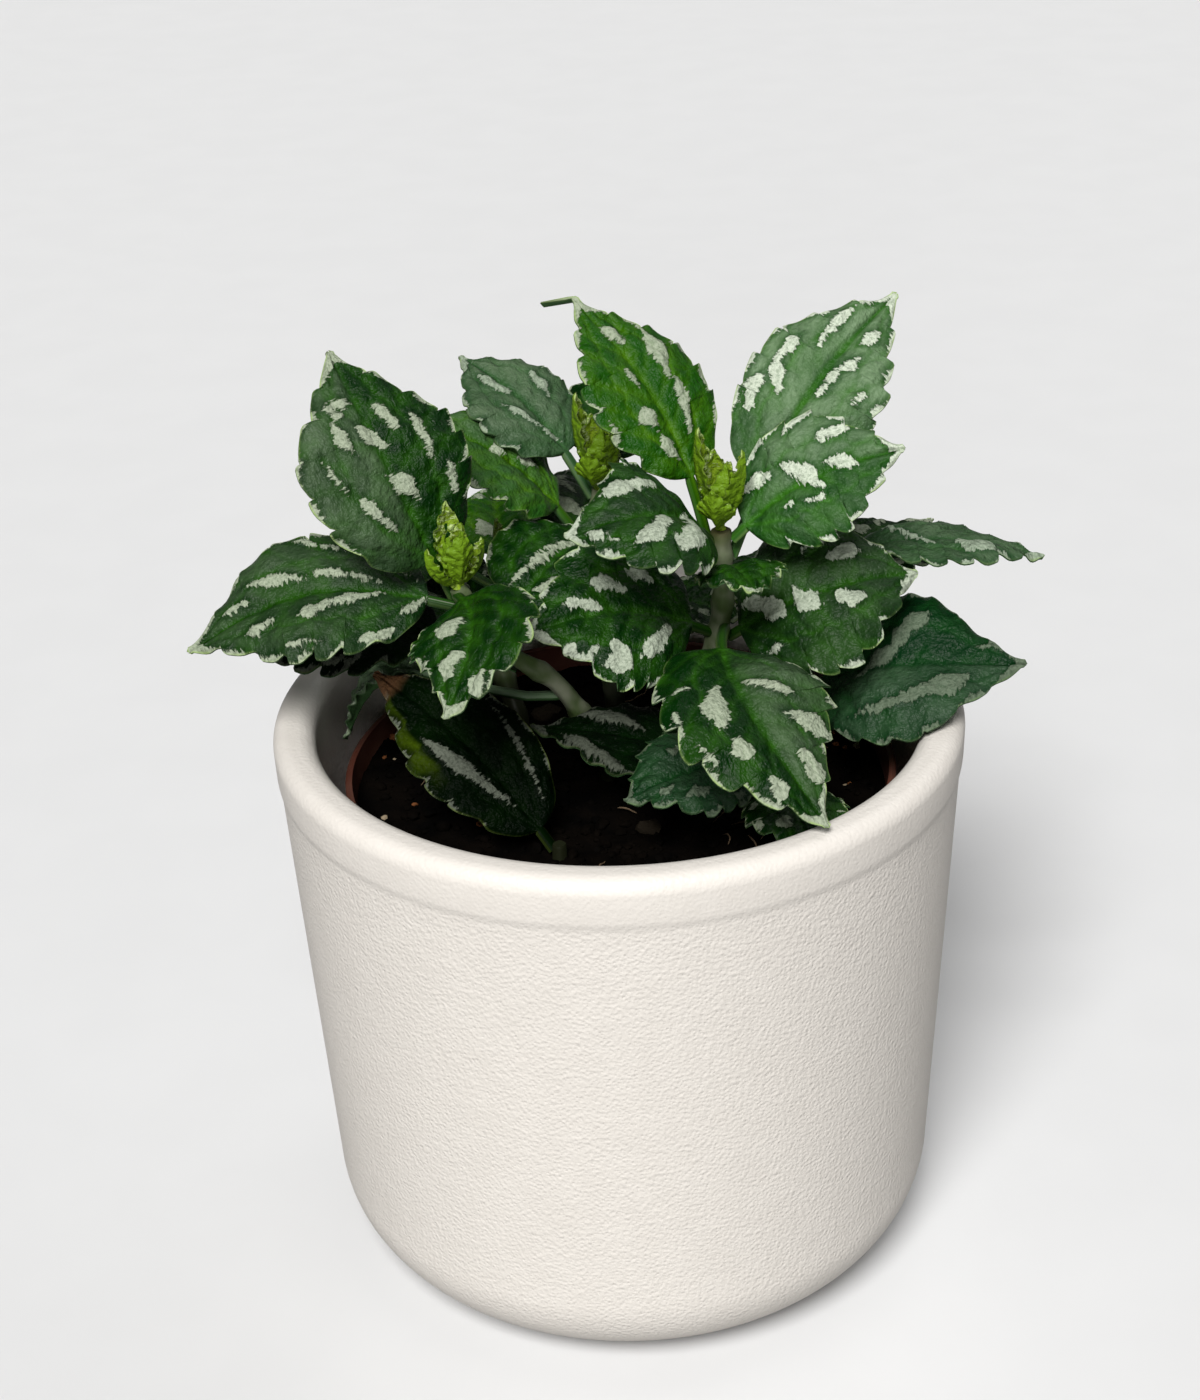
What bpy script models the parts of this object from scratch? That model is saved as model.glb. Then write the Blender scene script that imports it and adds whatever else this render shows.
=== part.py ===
"""A young aluminum plant in its nursery pot, standing inside a rounded white cachepot.

Blender 4.5, metres, +Z up. The origin is the middle of the cachepot's flat foot, and the side
that the plant shows to the viewer faces -Y. Every stem stands in a plain hole in the soil, and
every leaf is one closed blade with its petiole, ending just short of the stem that carries it.
"""

from dataclasses import dataclass
from math import cos, log, pi, radians, sin, sqrt, tau

import bmesh
import bpy
from mathutils import Matrix, Vector, noise

SEAT = 0.0003  # the gap that pieces resting on or in each other keep
SEAT_STEP = 0.00005

# The cachepot.
POT_RADIUS = 0.0620
POT_HEIGHT = 0.1095
POT_BASE_RADIUS = 0.0574
POT_CORNER = 0.0187
POT_RIM_WIDTH = 0.0077
POT_LIP_OUTER = 0.0030
POT_LIP_INNER = 0.0034
POT_FLOOR = 0.0055
POT_INNER_CORNER = 0.0130
POT_INNER_TAPER = 0.0050
POT_SEAM_DROP = 0.0090
POT_SEAM_STEP = 0.0004
POT_SIDES = 44

# The nursery pot, which stands on the cachepot's floor.
NURSERY_RIM_RADIUS = 0.0500
NURSERY_RIM_DROP = 0.0125
NURSERY_LIP_HEIGHT = 0.0080
NURSERY_LIP_STEP = 0.0022
NURSERY_BASE_RADIUS = 0.0375
NURSERY_WALL = 0.0012
NURSERY_SIDES = 32
DRAIN_HOLES = 4
DRAIN_RADIUS = 0.0040
DRAIN_CIRCLE = 0.0240

# The soil that fills it.
SOIL_LEVEL = 0.0920
SOIL_RELIEF = 0.0016
SOIL_RINGS = 5
CHIPS = 11
CHIP_NEAREST = 0.0100
CHIP_START = 5.0  # the first chip's turn, in radians
CHIP_CLEARANCE = 0.0060
CHIP_SIZE = 0.0013
CHIP_SPREAD = 0.0011

# Stems and blades.
STEM_ROOT = 0.0120
STEM_RADIUS = 0.0019
STEM_TAPER = 0.65
NODE_SWELLING = 1.25
BLADE_THICKNESS = 0.0008
BLADE_CUP = 0.16
BLADE_SWELL = 0.05
PETIOLE_RADIUS = 0.0010
PETIOLE_DEPTH = 0.0017
PETIOLE_END = 0.09  # the share of the blade by which the petiole has thinned into it
DRIP_FORWARD = 0.35
DRIP_DOWN = 0.94
TEETH = 5
TOOTH_DEPTH = 0.13
TOOTH_LEAN = 0.0007
FIRST_NOTCH = 0.18
LAST_NOTCH = 0.86
WIDEST = 0.43
BASE_ROUNDING = 0.52
TIP_START = 0.60
TIP_DRAW = 0.62
BLADE_COLUMNS = (-1.0, -0.5, 0.0, 0.5, 1.0)


@dataclass(frozen=True)
class Stem:
    """A stem's own route above the soil, and how far up it its leaf pairs sit."""

    name: str
    route: tuple
    radius: float = STEM_RADIUS
    nodes: tuple = ()


@dataclass(frozen=True)
class Leaf:
    """One leaf: where it joins its stem, and the line from there to its tip.

    `at` is the height of the joint above the foot. `toward` is the compass direction of the tip
    seen from above, from +X, and `rise` its climb. `length` runs from joint to tip and takes in
    the petiole. A positive `roll` lowers the blade's right-hand side. `arch` and `sweep` bow the
    midrib upward and to the right, as shares of the length, most at `crest` of the way along.
    `drip` is the length of a thin point past the blade, which curls back.
    """

    name: str
    stem: str
    at: float
    toward: float
    rise: float
    length: float
    width: float
    roll: float = 0.0
    arch: float = 0.10
    sweep: float = 0.0
    petiole: float = 0.008
    crest: float = 0.5
    fold: float = 8.0
    drip: float = 0.0


STEMS = (
    Stem("stem_left", ((-0.002, 0.003, SOIL_LEVEL), (-0.006, 0.001, 0.1050), (-0.011, -0.002, 0.1145),
                       (-0.018, -0.003, 0.1205), (-0.0235, -0.005, 0.1285), (-0.0270, -0.006, 0.1355)),
         nodes=(0.107, 0.117, 0.129, 0.134)),
    Stem("stem_middle", ((0.012, 0.006, SOIL_LEVEL), (0.015, 0.004, 0.108), (0.019, 0.001, 0.126),
                         (0.019, 0.000, 0.1420)),
         radius=0.0022, nodes=(0.106, 0.121, 0.128, 0.137, 0.141)),
    Stem("stem_back_left", ((0.000, 0.019, SOIL_LEVEL), (-0.002, 0.021, 0.112), (-0.003, 0.024, 0.130),
                            (-0.002, 0.025, 0.1400)),
         nodes=(0.108, 0.126, 0.136)),
    Stem("stem_right", ((0.027, 0.013, SOIL_LEVEL), (0.029, 0.015, 0.104), (0.034, 0.018, 0.118),
                        (0.035, 0.020, 0.1290)),
         nodes=(0.101, 0.116, 0.127)),
    Stem("stem_back", ((-0.019, 0.022, SOIL_LEVEL), (-0.022, 0.028, 0.103), (-0.022, 0.034, 0.111),
                       (-0.020, 0.038, 0.1170)),
         nodes=(0.101, 0.108, 0.115)),
    Stem("stem_front_left", ((-0.011, -0.026, SOIL_LEVEL), (-0.011, -0.026, 0.0954)),
         radius=0.0015, nodes=(0.094,)),
    Stem("stem_front_right", ((0.027, -0.015, SOIL_LEVEL), (0.028, -0.017, 0.1065)),
         radius=0.0015, nodes=(0.101, 0.104)),
)

LEAVES = (
    # On the left stem.
    Leaf("leaf_left_tall", "stem_left", 0.134, 140, 57, 0.046, 0.031, roll=-22, arch=0.12,
         sweep=-0.10, petiole=0.006),
    Leaf("leaf_left_long", "stem_left", 0.132, 182, -8, 0.0465, 0.029, roll=-26, arch=0.15, petiole=0.004),
    Leaf("leaf_left_front", "stem_left", 0.1345, 267, -15, 0.0305, 0.024, roll=18, arch=0.18,
         sweep=-0.12, petiole=0.003),
    Leaf("leaf_left_inner", "stem_left", 0.125, 50, 20, 0.030, 0.026, roll=14, petiole=0.006),
    Leaf("leaf_left_under", "stem_left", 0.118, 167, 2, 0.052, 0.028, roll=-12, petiole=0.014),
    Leaf("leaf_left_hanging", "stem_left", 0.111, 171, -15, 0.041, 0.010, arch=0.26, crest=0.66,
         petiole=0.022, fold=35),
    Leaf("leaf_low_middle", "stem_front_right", 0.100, 168, 11, 0.043, 0.022, roll=-6, arch=0.06,
         petiole=0.006),
    # On the middle stem.
    Leaf("leaf_top_left", "stem_middle", 0.141, 207, 13, 0.028, 0.029, roll=-22, arch=0.21, sweep=-0.15,
         petiole=0.003),
    Leaf("leaf_top_front", "stem_middle", 0.1345, 285, 12, 0.0165, 0.0165, arch=0.16, sweep=0.03,
         petiole=0.003),
    Leaf("leaf_top_right", "stem_middle", 0.141, 0, 27, 0.032, 0.025, roll=42, petiole=0.002),
    Leaf("leaf_crown_left", "stem_middle", 0.138, 137, 52, 0.049, 0.025, roll=-10, arch=0.12,
         petiole=0.012, drip=0.008),
    Leaf("leaf_crown_right", "stem_middle", 0.137, 42, 41, 0.055, 0.026, roll=25, arch=0.10,
         petiole=0.012),
    Leaf("leaf_middle_left", "stem_middle", 0.1225, 201, 11, 0.0335, 0.031, roll=-42, arch=0.12,
         petiole=0.003),
    Leaf("leaf_middle_right", "stem_middle", 0.121, 0, 18, 0.034, 0.033, roll=38, arch=0.14,
         sweep=0.12, petiole=0.0015),
    Leaf("leaf_front", "stem_middle", 0.1235, 286, -14, 0.0520, 0.031, arch=0.20, sweep=0.15,
         petiole=0.015),
    # On the back left stem.
    Leaf("leaf_back_left_near", "stem_back_left", 0.130, 177, 40, 0.039, 0.025, roll=-12),
    Leaf("leaf_back_left_far", "stem_back_left", 0.139, 141, 34, 0.036, 0.024, roll=-5),
    Leaf("leaf_back_high", "stem_back_left", 0.137, 75, 24, 0.038, 0.024),
    Leaf("leaf_back_mid", "stem_back_left", 0.125, 95, 2, 0.042, 0.026),
    Leaf("leaf_back_inner", "stem_back_left", 0.118, 343, 0, 0.025, 0.022),
    Leaf("leaf_back_low", "stem_back_left", 0.110, 50, 4, 0.028, 0.022),
    # On the right stem.
    Leaf("leaf_right_long", "stem_right", 0.127, 356, 0, 0.042, 0.023, roll=-5, arch=0.08),
    Leaf("leaf_right_low", "stem_right", 0.101, 334, 19, 0.048, 0.033, roll=30, arch=0.14, sweep=0.14,
         petiole=0.012),
    Leaf("leaf_right_inner", "stem_right", 0.127, 84, 20, 0.031, 0.023),
    Leaf("leaf_right_back", "stem_right", 0.117, 44, 8, 0.037, 0.026),
    Leaf("leaf_right_rear", "stem_right", 0.110, 88, 2, 0.040, 0.025),
    # On the back stem.
    Leaf("leaf_rear_left", "stem_back", 0.115, 158, 6, 0.036, 0.025),
    Leaf("leaf_rear_back", "stem_back", 0.115, 95, 4, 0.040, 0.025),
    Leaf("leaf_rear_low", "stem_back", 0.104, 125, 13, 0.040, 0.026),
    Leaf("leaf_rear_right", "stem_back", 0.106, 60, 12, 0.038, 0.025),
    Leaf("leaf_rear_far", "stem_back", 0.109, 192, 8, 0.034, 0.023),
    # On the two short front shoots.
    Leaf("leaf_soil_left", "stem_front_left", 0.0945, 141, 29, 0.045, 0.022, roll=-22, arch=0.08,
         petiole=0.003),
    Leaf("leaf_soil_front", "stem_front_right", 0.104, 207, 4, 0.029, 0.023, roll=-12, petiole=0.004),
    Leaf("leaf_soil_right", "stem_front_right", 0.101, 277, 2, 0.025, 0.019, petiole=0.004),
)

# Each shoot tip's name, height and compass turn. The front left stub has none.
TIPS = {
    "stem_left": ("shoot_left", 0.0145, 25),
    "stem_middle": ("shoot_middle", 0.018, 75),
    "stem_back_left": ("shoot_back_left", 0.018, 75),
    "stem_right": ("shoot_right", 0.010, 20),
    "stem_back": ("shoot_back", 0.011, 60),
    "stem_front_right": ("shoot_front_right", 0.006, 100),
}

# The young leaves of a shoot tip: share of its height, turn and climb.
SHOOT_LEAVES = ((0.66, 0, 42), (0.66, 180, 42), (1.0, 90, 76))


def clear_scene():
    for obj in list(bpy.data.objects):
        bpy.data.objects.remove(obj, do_unlink=True)


def finish(name, colour, roughness, metallic=0.0):
    """A plain material for the part's solids."""
    material = bpy.data.materials.new(name)
    material.use_nodes = True
    shader = material.node_tree.nodes["Principled BSDF"]
    shader.inputs["Base Color"].default_value = (*colour, 1.0)
    shader.inputs["Roughness"].default_value = roughness
    shader.inputs["Metallic"].default_value = metallic
    return material


def add_object(name, mesh, material, parent, smooth_angle=40):
    mesh.shade_smooth()
    mesh.set_sharp_from_angle(angle=radians(smooth_angle))
    obj = bpy.data.objects.new(name, mesh)
    obj.data.materials.append(material)
    obj.parent = parent
    bpy.context.scene.collection.objects.link(obj)
    return obj


def apply_modifiers(obj):
    """Keeps the shape that the modifiers give, and drops them."""
    graph = bpy.context.evaluated_depsgraph_get()
    mesh = bpy.data.meshes.new_from_object(obj.evaluated_get(graph))
    obj.modifiers.clear()
    obj.data = mesh
    return obj


def arc(centre_r, centre_z, radius, start, end, steps):
    """Points of an arc in the (radius, height) half plane, angles in degrees."""
    angles = [radians(start + (end - start) * i / steps) for i in range(steps + 1)]
    return [(centre_r + radius * cos(a), centre_z + radius * sin(a)) for a in angles]


def turned_mesh(name, profile, sides):
    """A closed turned body from a profile that starts and ends on the axis, foot first."""
    mesh_maker = bmesh.new()
    rings = []
    for r, z in profile:
        if r == 0.0:
            rings.append([mesh_maker.verts.new((0.0, 0.0, z))])
            continue
        rings.append([
            mesh_maker.verts.new((r * cos(tau * i / sides), r * sin(tau * i / sides), z))
            for i in range(sides)
        ])
    for low, high in zip(rings, rings[1:]):
        for i in range(sides):
            j = (i + 1) % sides
            corners = [low[i % len(low)], low[j % len(low)], high[j % len(high)], high[i % len(high)]]
            mesh_maker.faces.new(list(dict.fromkeys(corners)))
    bmesh.ops.recalc_face_normals(mesh_maker, faces=mesh_maker.faces)
    mesh = bpy.data.meshes.new(name)
    mesh_maker.to_mesh(mesh)
    mesh_maker.free()
    return mesh


def cachepot_profile():
    """The foot, the tapering wall with its rounded corner and faint seam, the lip and the inside."""
    corner_r = POT_BASE_RADIUS - POT_CORNER
    inner_top = POT_RADIUS - POT_RIM_WIDTH
    inner_low = inner_top - POT_INNER_TAPER
    inner_corner_r = inner_low - POT_INNER_CORNER
    lip_z = POT_HEIGHT - POT_LIP_OUTER
    seam_z = POT_HEIGHT - POT_SEAM_DROP
    profile = [(0.0, 0.0)]
    profile += arc(corner_r, POT_CORNER, POT_CORNER, -90, 0, 5)
    profile += [
        (POT_RADIUS - POT_SEAM_STEP * 1.6, seam_z - 0.0012),
        (POT_RADIUS - POT_SEAM_STEP * 0.4, seam_z + 0.0008),
    ]
    profile += arc(POT_RADIUS - POT_LIP_OUTER, lip_z, POT_LIP_OUTER, 0, 90, 3)
    profile += arc(inner_top + POT_LIP_INNER, POT_HEIGHT - POT_LIP_INNER, POT_LIP_INNER, 90, 180, 3)
    profile += arc(inner_corner_r, POT_FLOOR + POT_INNER_CORNER, POT_INNER_CORNER, 0, -90, 3)
    profile += [(0.0, POT_FLOOR)]
    return profile


def nursery_inside(shrink=0.0):
    """The nursery pot's inner wall from its floor to its rim, or a line that far inside it."""
    floor = POT_FLOOR + SEAT + NURSERY_WALL
    rim = POT_HEIGHT - NURSERY_RIM_DROP
    shoulder = rim - NURSERY_LIP_HEIGHT
    neck = NURSERY_RIM_RADIUS - NURSERY_LIP_STEP - NURSERY_WALL
    return [
        (NURSERY_BASE_RADIUS - NURSERY_WALL - shrink, floor + shrink),
        (neck - shrink, shoulder),
        (NURSERY_RIM_RADIUS - NURSERY_WALL - shrink - 0.0003, shoulder + 0.0018),
        (NURSERY_RIM_RADIUS - NURSERY_WALL - shrink, rim - 0.0003),
    ]


def nursery_profile():
    """A thin tapered wall whose top steps out into a band."""
    foot = POT_FLOOR + SEAT
    rim = POT_HEIGHT - NURSERY_RIM_DROP
    shoulder = rim - NURSERY_LIP_HEIGHT
    inside = nursery_inside()
    return [
        (0.0, foot),
        (NURSERY_BASE_RADIUS - 0.001, foot),
        (NURSERY_BASE_RADIUS, foot + 0.001),
        (NURSERY_RIM_RADIUS - NURSERY_LIP_STEP, shoulder - 0.0006),
        (NURSERY_RIM_RADIUS - 0.0004, shoulder + 0.0003),
        (NURSERY_RIM_RADIUS, rim - 0.0006),
        (NURSERY_RIM_RADIUS - 0.0006, rim),
        *reversed(inside),
        (0.0, inside[0][1]),
    ]


def soil_radius(z):
    """How far the soil reaches at a height: to just inside the nursery pot's wall."""
    inside = nursery_inside(SEAT)
    for (low_r, low_z), (high_r, high_z) in zip(inside, inside[1:]):
        if z <= high_z:
            return low_r + (high_r - low_r) * (z - low_z) / (high_z - low_z)
    return inside[-1][0]


def make_cachepot(parent):
    white = finish("cachepot_white", (0.80, 0.79, 0.76), 0.55)
    return add_object("cachepot", turned_mesh("cachepot", cachepot_profile(), POT_SIDES), white, parent)


def cutter(name, mesh, location):
    """A hidden body that a Boolean takes away."""
    obj = bpy.data.objects.new(name, mesh)
    obj.location = location
    obj.hide_render = True
    obj.display_type = "WIRE"
    bpy.context.scene.collection.objects.link(obj)
    return obj


def rod_mesh(name, radius, height, sides):
    return turned_mesh(name, [(0.0, 0.0), (radius, 0.0), (radius, height), (0.0, height)], sides)


def cut_and_drop(obj, cutters):
    """Takes each cutter away from the object in turn, and removes the cutters."""
    for tool in cutters:
        cut = obj.modifiers.new(tool.name, "BOOLEAN")
        cut.operation = "DIFFERENCE"
        cut.object = tool
    bpy.context.view_layer.update()
    apply_modifiers(obj)
    for tool in cutters:
        bpy.data.objects.remove(tool, do_unlink=True)


def make_nursery_pot(parent):
    brown = finish("nursery_plastic", (0.22, 0.07, 0.04), 0.5)
    mesh = turned_mesh("nursery_pot", nursery_profile(), NURSERY_SIDES)
    pot = add_object("nursery_pot", mesh, brown, parent)
    drains = []
    for i in range(DRAIN_HOLES):
        angle = tau * (i + 0.5) / DRAIN_HOLES
        place = (DRAIN_CIRCLE * cos(angle), DRAIN_CIRCLE * sin(angle), POT_FLOOR - 0.001)
        drains.append(cutter(f"drain_{i}", rod_mesh("drain", DRAIN_RADIUS, 0.004, 12), place))
    cut_and_drop(pot, drains)
    return pot


def soil_height(x, y):
    """The crumbly top: low swells with a finer roughness on them."""
    swell = noise.noise(Vector((x * 60, y * 60, 0.3)))
    crumb = noise.noise(Vector((x * 240, y * 240, 4.1)))
    return SOIL_LEVEL + SOIL_RELIEF * (0.5 * swell + 0.5 * crumb)


def soil_mesh():
    """A filling a little inside the nursery pot's wall, with an uneven top."""
    top_radius = soil_radius(SOIL_LEVEL)
    profile = [(0.0, nursery_inside(SEAT)[0][1]), *nursery_inside(SEAT)[:3]]
    for i in range(SOIL_RINGS):
        profile.append((top_radius * (SOIL_RINGS - i) / SOIL_RINGS, SOIL_LEVEL))
    profile.append((0.0, SOIL_LEVEL))
    mesh = turned_mesh("soil", profile, NURSERY_SIDES)
    for vertex in mesh.vertices:
        if vertex.co.z > SOIL_LEVEL - 0.0001:
            vertex.co.z = soil_height(vertex.co.x, vertex.co.y)
    return mesh


def chip_places():
    """Where the bark and perlite chips lie: a spiral that opens evenly, so that none meet."""
    for i in range(CHIPS):
        angle = CHIP_START + i * pi * (3 - sqrt(5))
        r = CHIP_NEAREST + (soil_radius(SOIL_LEVEL) - CHIP_NEAREST - CHIP_CLEARANCE) * sqrt((i + 0.5) / CHIPS)
        yield r * cos(angle), r * sin(angle), CHIP_SIZE + CHIP_SPREAD * (0.5 + 0.5 * sin(7.0 * i))


def join_by_union(obj, others):
    """One closed body from several that cross."""
    collection = bpy.data.collections.new(f"{obj.name}_pieces")
    bpy.context.scene.collection.children.link(collection)
    for other in others:
        collection.objects.link(other)
    union = obj.modifiers.new("union", "BOOLEAN")
    union.operation = "UNION"
    union.operand_type = "COLLECTION"
    union.collection = collection
    union.solver = "MANIFOLD"
    bpy.context.view_layer.update()
    apply_modifiers(obj)
    for other in others:
        bpy.data.objects.remove(other, do_unlink=True)
    bpy.data.collections.remove(collection)
    return obj


def make_soil(parent):
    brown = finish("soil_brown", (0.035, 0.022, 0.014), 0.95)
    soil = add_object("soil", soil_mesh(), brown, parent, smooth_angle=60)
    chips = []
    for i, (x, y, size) in enumerate(chip_places()):
        mesh_maker = bmesh.new()
        bmesh.ops.create_icosphere(mesh_maker, subdivisions=1, radius=size)
        bmesh.ops.scale(mesh_maker, vec=(1.4, 1.0, 0.8), verts=mesh_maker.verts)
        bmesh.ops.rotate(mesh_maker, matrix=Matrix.Rotation(i * 1.3, 3, "Z"), verts=mesh_maker.verts)
        bmesh.ops.translate(mesh_maker, vec=(x, y, soil_height(x, y) + 0.2 * size), verts=mesh_maker.verts)
        mesh = bpy.data.meshes.new("chip")
        mesh_maker.to_mesh(mesh)
        mesh_maker.free()
        chips.append(bpy.data.objects.new(f"chip_{i}", mesh))
    join_by_union(soil, chips)
    holes = []
    for stem in STEMS:
        x, y, z = stem.route[0]
        hole = rod_mesh("hole", stem.radius + SEAT, STEM_ROOT + 0.010, 12)
        holes.append(cutter(f"hole_{stem.name}", hole, (x, y, z - STEM_ROOT - SEAT)))
    cut_and_drop(soil, holes)
    return soil


def smooth_route(points, steps):
    """Points along a smooth curve through the given ones."""
    padded = [points[0] * 2 - points[1], *points, points[-1] * 2 - points[-2]]
    route = []
    for a, b, c, d in zip(padded, padded[1:], padded[2:], padded[3:]):
        for i in range(steps):
            t = i / steps
            route.append(0.5 * (2 * b + (c - a) * t + (2 * a - 5 * b + 4 * c - d) * t**2
                                + (3 * b - a - 3 * c + d) * t**3))
    route.append(points[-1])
    return route


def stem_route(stem):
    """The stem's centre line, from its foot in the soil to its top."""
    points = [Vector(p) for p in stem.route]
    foot = points[0] - Vector((0.0, 0.0, STEM_ROOT))
    collar = points[0] + Vector((0.0, 0.0, 0.003))
    return [foot, *smooth_route([collar, *points[1:]], 3)]


def stem_radius(stem, z):
    """Slimmer towards the top, and a little thicker where a pair of leaves sits."""
    low, high = stem.route[0][2], stem.route[-1][2]
    share = min(max((z - low) / (high - low), 0.0), 1.0)
    radius = stem.radius * (1 - (1 - STEM_TAPER) * share)
    if z <= low:
        return radius
    nearest = min(abs(z - node) for node in stem.nodes)
    return radius * (1 + (NODE_SWELLING - 1) * max(0.0, 1 - nearest / 0.0025))


def stem_point(stem, z):
    """The centre line's point at a height."""
    route = stem_route(stem)
    for low, high in zip(route, route[1:]):
        if low.z <= z <= high.z:
            return low.lerp(high, (z - low.z) / (high.z - low.z))
    return route[-1]


def make_stem(stem, parent, material):
    curve = bpy.data.curves.new(stem.name, "CURVE")
    curve.dimensions = "3D"
    curve.bevel_depth = 1.0
    curve.bevel_resolution = 2
    curve.use_fill_caps = True
    spline = curve.splines.new("POLY")
    route = stem_route(stem)
    spline.points.add(len(route) - 1)
    for point, place in zip(spline.points, route):
        point.co = (*place, 1.0)
        point.radius = stem_radius(stem, place.z)
    obj = bpy.data.objects.new(stem.name, curve)
    obj.data.materials.append(material)
    obj.parent = parent
    bpy.context.scene.collection.objects.link(obj)
    return obj


def direction(toward, rise):
    return Vector((cos(radians(toward)) * cos(radians(rise)), sin(radians(toward)) * cos(radians(rise)),
                   sin(radians(rise))))


def blade_outline(s):
    """Half the blade's width as a share of its most, from its base (0) to its tip (1)."""
    high = BASE_ROUNDING * (1 - WIDEST) / WIDEST
    body = (s / WIDEST) ** BASE_ROUNDING * ((1 - s) / (1 - WIDEST)) ** high
    return body * (1 - TIP_DRAW * max(0.0, (s - TIP_START) / (1 - TIP_START)))


def blade_stations(teeth):
    """Each cross-section's place along the blade, its width factor, and how far its edge leans on."""
    yield 0.0, 1.0, 0.0
    yield 0.08, 1.0, 0.0
    step = (LAST_NOTCH - FIRST_NOTCH) / teeth
    for i in range(teeth):
        yield FIRST_NOTCH + step * i, 1 - TOOTH_DEPTH, 0.0
        yield FIRST_NOTCH + step * (i + 0.7), 1.0, TOOTH_LEAN
    yield LAST_NOTCH, 1 - TOOTH_DEPTH, 0.0
    yield 1.0, 1.0, 0.0


class BladeFrame:
    """The midrib of a leaf and the directions across and out of the blade along it."""

    def __init__(self, leaf, base):
        self.leaf = leaf
        self.base = base
        self.chord = direction(leaf.toward, leaf.rise)
        upward = Vector((0.0, 0.0, 1.0))
        self.up = (upward - self.chord * upward.dot(self.chord)).normalized()
        self.side = self.chord.cross(self.up)
        self.power = log(0.5) / log(leaf.crest)

    def point(self, t):
        bow = sin(pi * min(max(t, 0.0), 1.0) ** self.power)
        shift = self.up * self.leaf.arch + self.side * self.leaf.sweep
        place = self.base + (self.chord * min(t, 1.0) + shift * bow) * self.leaf.length
        past = max(t - 1.0, 0.0) * self.leaf.length
        return place + (self.chord * DRIP_FORWARD - self.up * DRIP_DOWN) * past

    def axes(self, t):
        """Along, right and up at a place on the midrib."""
        step = 0.01
        along = (self.point(t + step) - self.point(max(t - step, 0.0))).normalized()
        roll = radians(self.leaf.roll)
        normal = self.up * cos(roll) + self.side * sin(roll)
        normal = (normal - along * normal.dot(along)).normalized()
        return along, along.cross(normal), normal


def section(frame, t, half_width, lean, columns, fold, height):
    """One ring of the blade: its upper points from left to right, then the lower ones back."""
    along, right, normal = frame.axes(t)
    centre = frame.point(t)
    upper = []
    for x in columns:
        lift = half_width * (abs(x) * sin(radians(fold)) - BLADE_CUP * x * x)
        lift += half_width * BLADE_SWELL * sin(pi * abs(x))
        across = right * (half_width * x * cos(radians(fold)))
        upper.append(centre + across + normal * (lift + height / 2) + along * (lean * abs(x)))
    lower = [point - normal * height for point in reversed(upper)]
    return upper + lower


def loft_mesh(name, rings, columns):
    """A closed body through rings of upper and lower points, split alike on both faces."""
    mesh_maker = bmesh.new()
    verts = [[mesh_maker.verts.new(p) for p in ring] for ring in rings]
    count = 2 * columns
    for near, far in zip(verts, verts[1:]):
        for j in range(count):
            k = (j + 1) % count
            if j < columns:
                mesh_maker.faces.new((near[j], far[j], far[k]))
                mesh_maker.faces.new((near[j], far[k], near[k]))
            else:
                mesh_maker.faces.new((near[j], far[j], near[k]))
                mesh_maker.faces.new((far[j], far[k], near[k]))
    for ring in (verts[0], verts[-1]):
        for j in range(columns - 1):
            mesh_maker.faces.new((ring[j], ring[j + 1], ring[count - 2 - j], ring[count - 1 - j]))
    bmesh.ops.recalc_face_normals(mesh_maker, faces=mesh_maker.faces)
    mesh = bpy.data.meshes.new(name)
    mesh_maker.to_mesh(mesh)
    mesh_maker.free()
    return mesh


def stem_gap(points, stem):
    """The least distance from any of the points to a stem's skin."""
    route = stem_route(stem)
    gaps = []
    for low, high in zip(route, route[1:]):
        run = high - low
        for point in points:
            share = min(max((point - low).dot(run) / run.length_squared, 0.0), 1.0)
            radius = stem_radius(stem, low.z) * (1 - share) + stem_radius(stem, high.z) * share
            gaps.append((point - low - run * share).length - radius)
    return min(gaps)


def leaf_base(leaf, stems):
    """Where the petiole ends, just clear of the stem on the side that the leaf goes."""
    stem = stems[leaf.stem]
    out = direction(leaf.toward, 0.0)
    base = stem_point(stem, leaf.at)
    while stem_gap(petiole_ring(BladeFrame(leaf, base), 0.0), stem) < SEAT:
        base = base + out * SEAT_STEP
    return base


def petiole_ring(frame, t):
    """A cross-section of the petiole."""
    return section(frame, t, PETIOLE_RADIUS, 0.0, BLADE_COLUMNS, 0.0, PETIOLE_DEPTH)


def leaf_mesh(leaf, base):
    frame = BladeFrame(leaf, base)
    blade_start = leaf.petiole / leaf.length
    rings = [petiole_ring(frame, 0.0), petiole_ring(frame, blade_start * 0.6)]
    for s, factor, lean in blade_stations(TEETH):
        t = blade_start + s * (1 - blade_start)
        half = max(leaf.width / 2 * blade_outline(s) * factor, PETIOLE_RADIUS * 0.8)
        share = min(s / PETIOLE_END, 1.0)
        height = BLADE_THICKNESS * share + PETIOLE_DEPTH * (1 - share)
        rings.append(section(frame, t, half, lean, BLADE_COLUMNS, leaf.fold * share, height))
    if leaf.drip:
        for share in (0.5, 1.0):
            t = 1 + share * leaf.drip / leaf.length
            half = PETIOLE_RADIUS * (0.8 - 0.4 * share)
            rings.append(section(frame, t, half, 0.0, BLADE_COLUMNS, 0.0, BLADE_THICKNESS))
    return loft_mesh(leaf.name, rings, len(BLADE_COLUMNS))


def make_leaves(parent):
    green = finish("leaf_green", (0.03, 0.11, 0.03), 0.4)
    stems = {stem.name: stem for stem in STEMS}
    for leaf in LEAVES:
        add_object(leaf.name, leaf_mesh(leaf, leaf_base(leaf, stems)), green, parent, smooth_angle=50)


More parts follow.
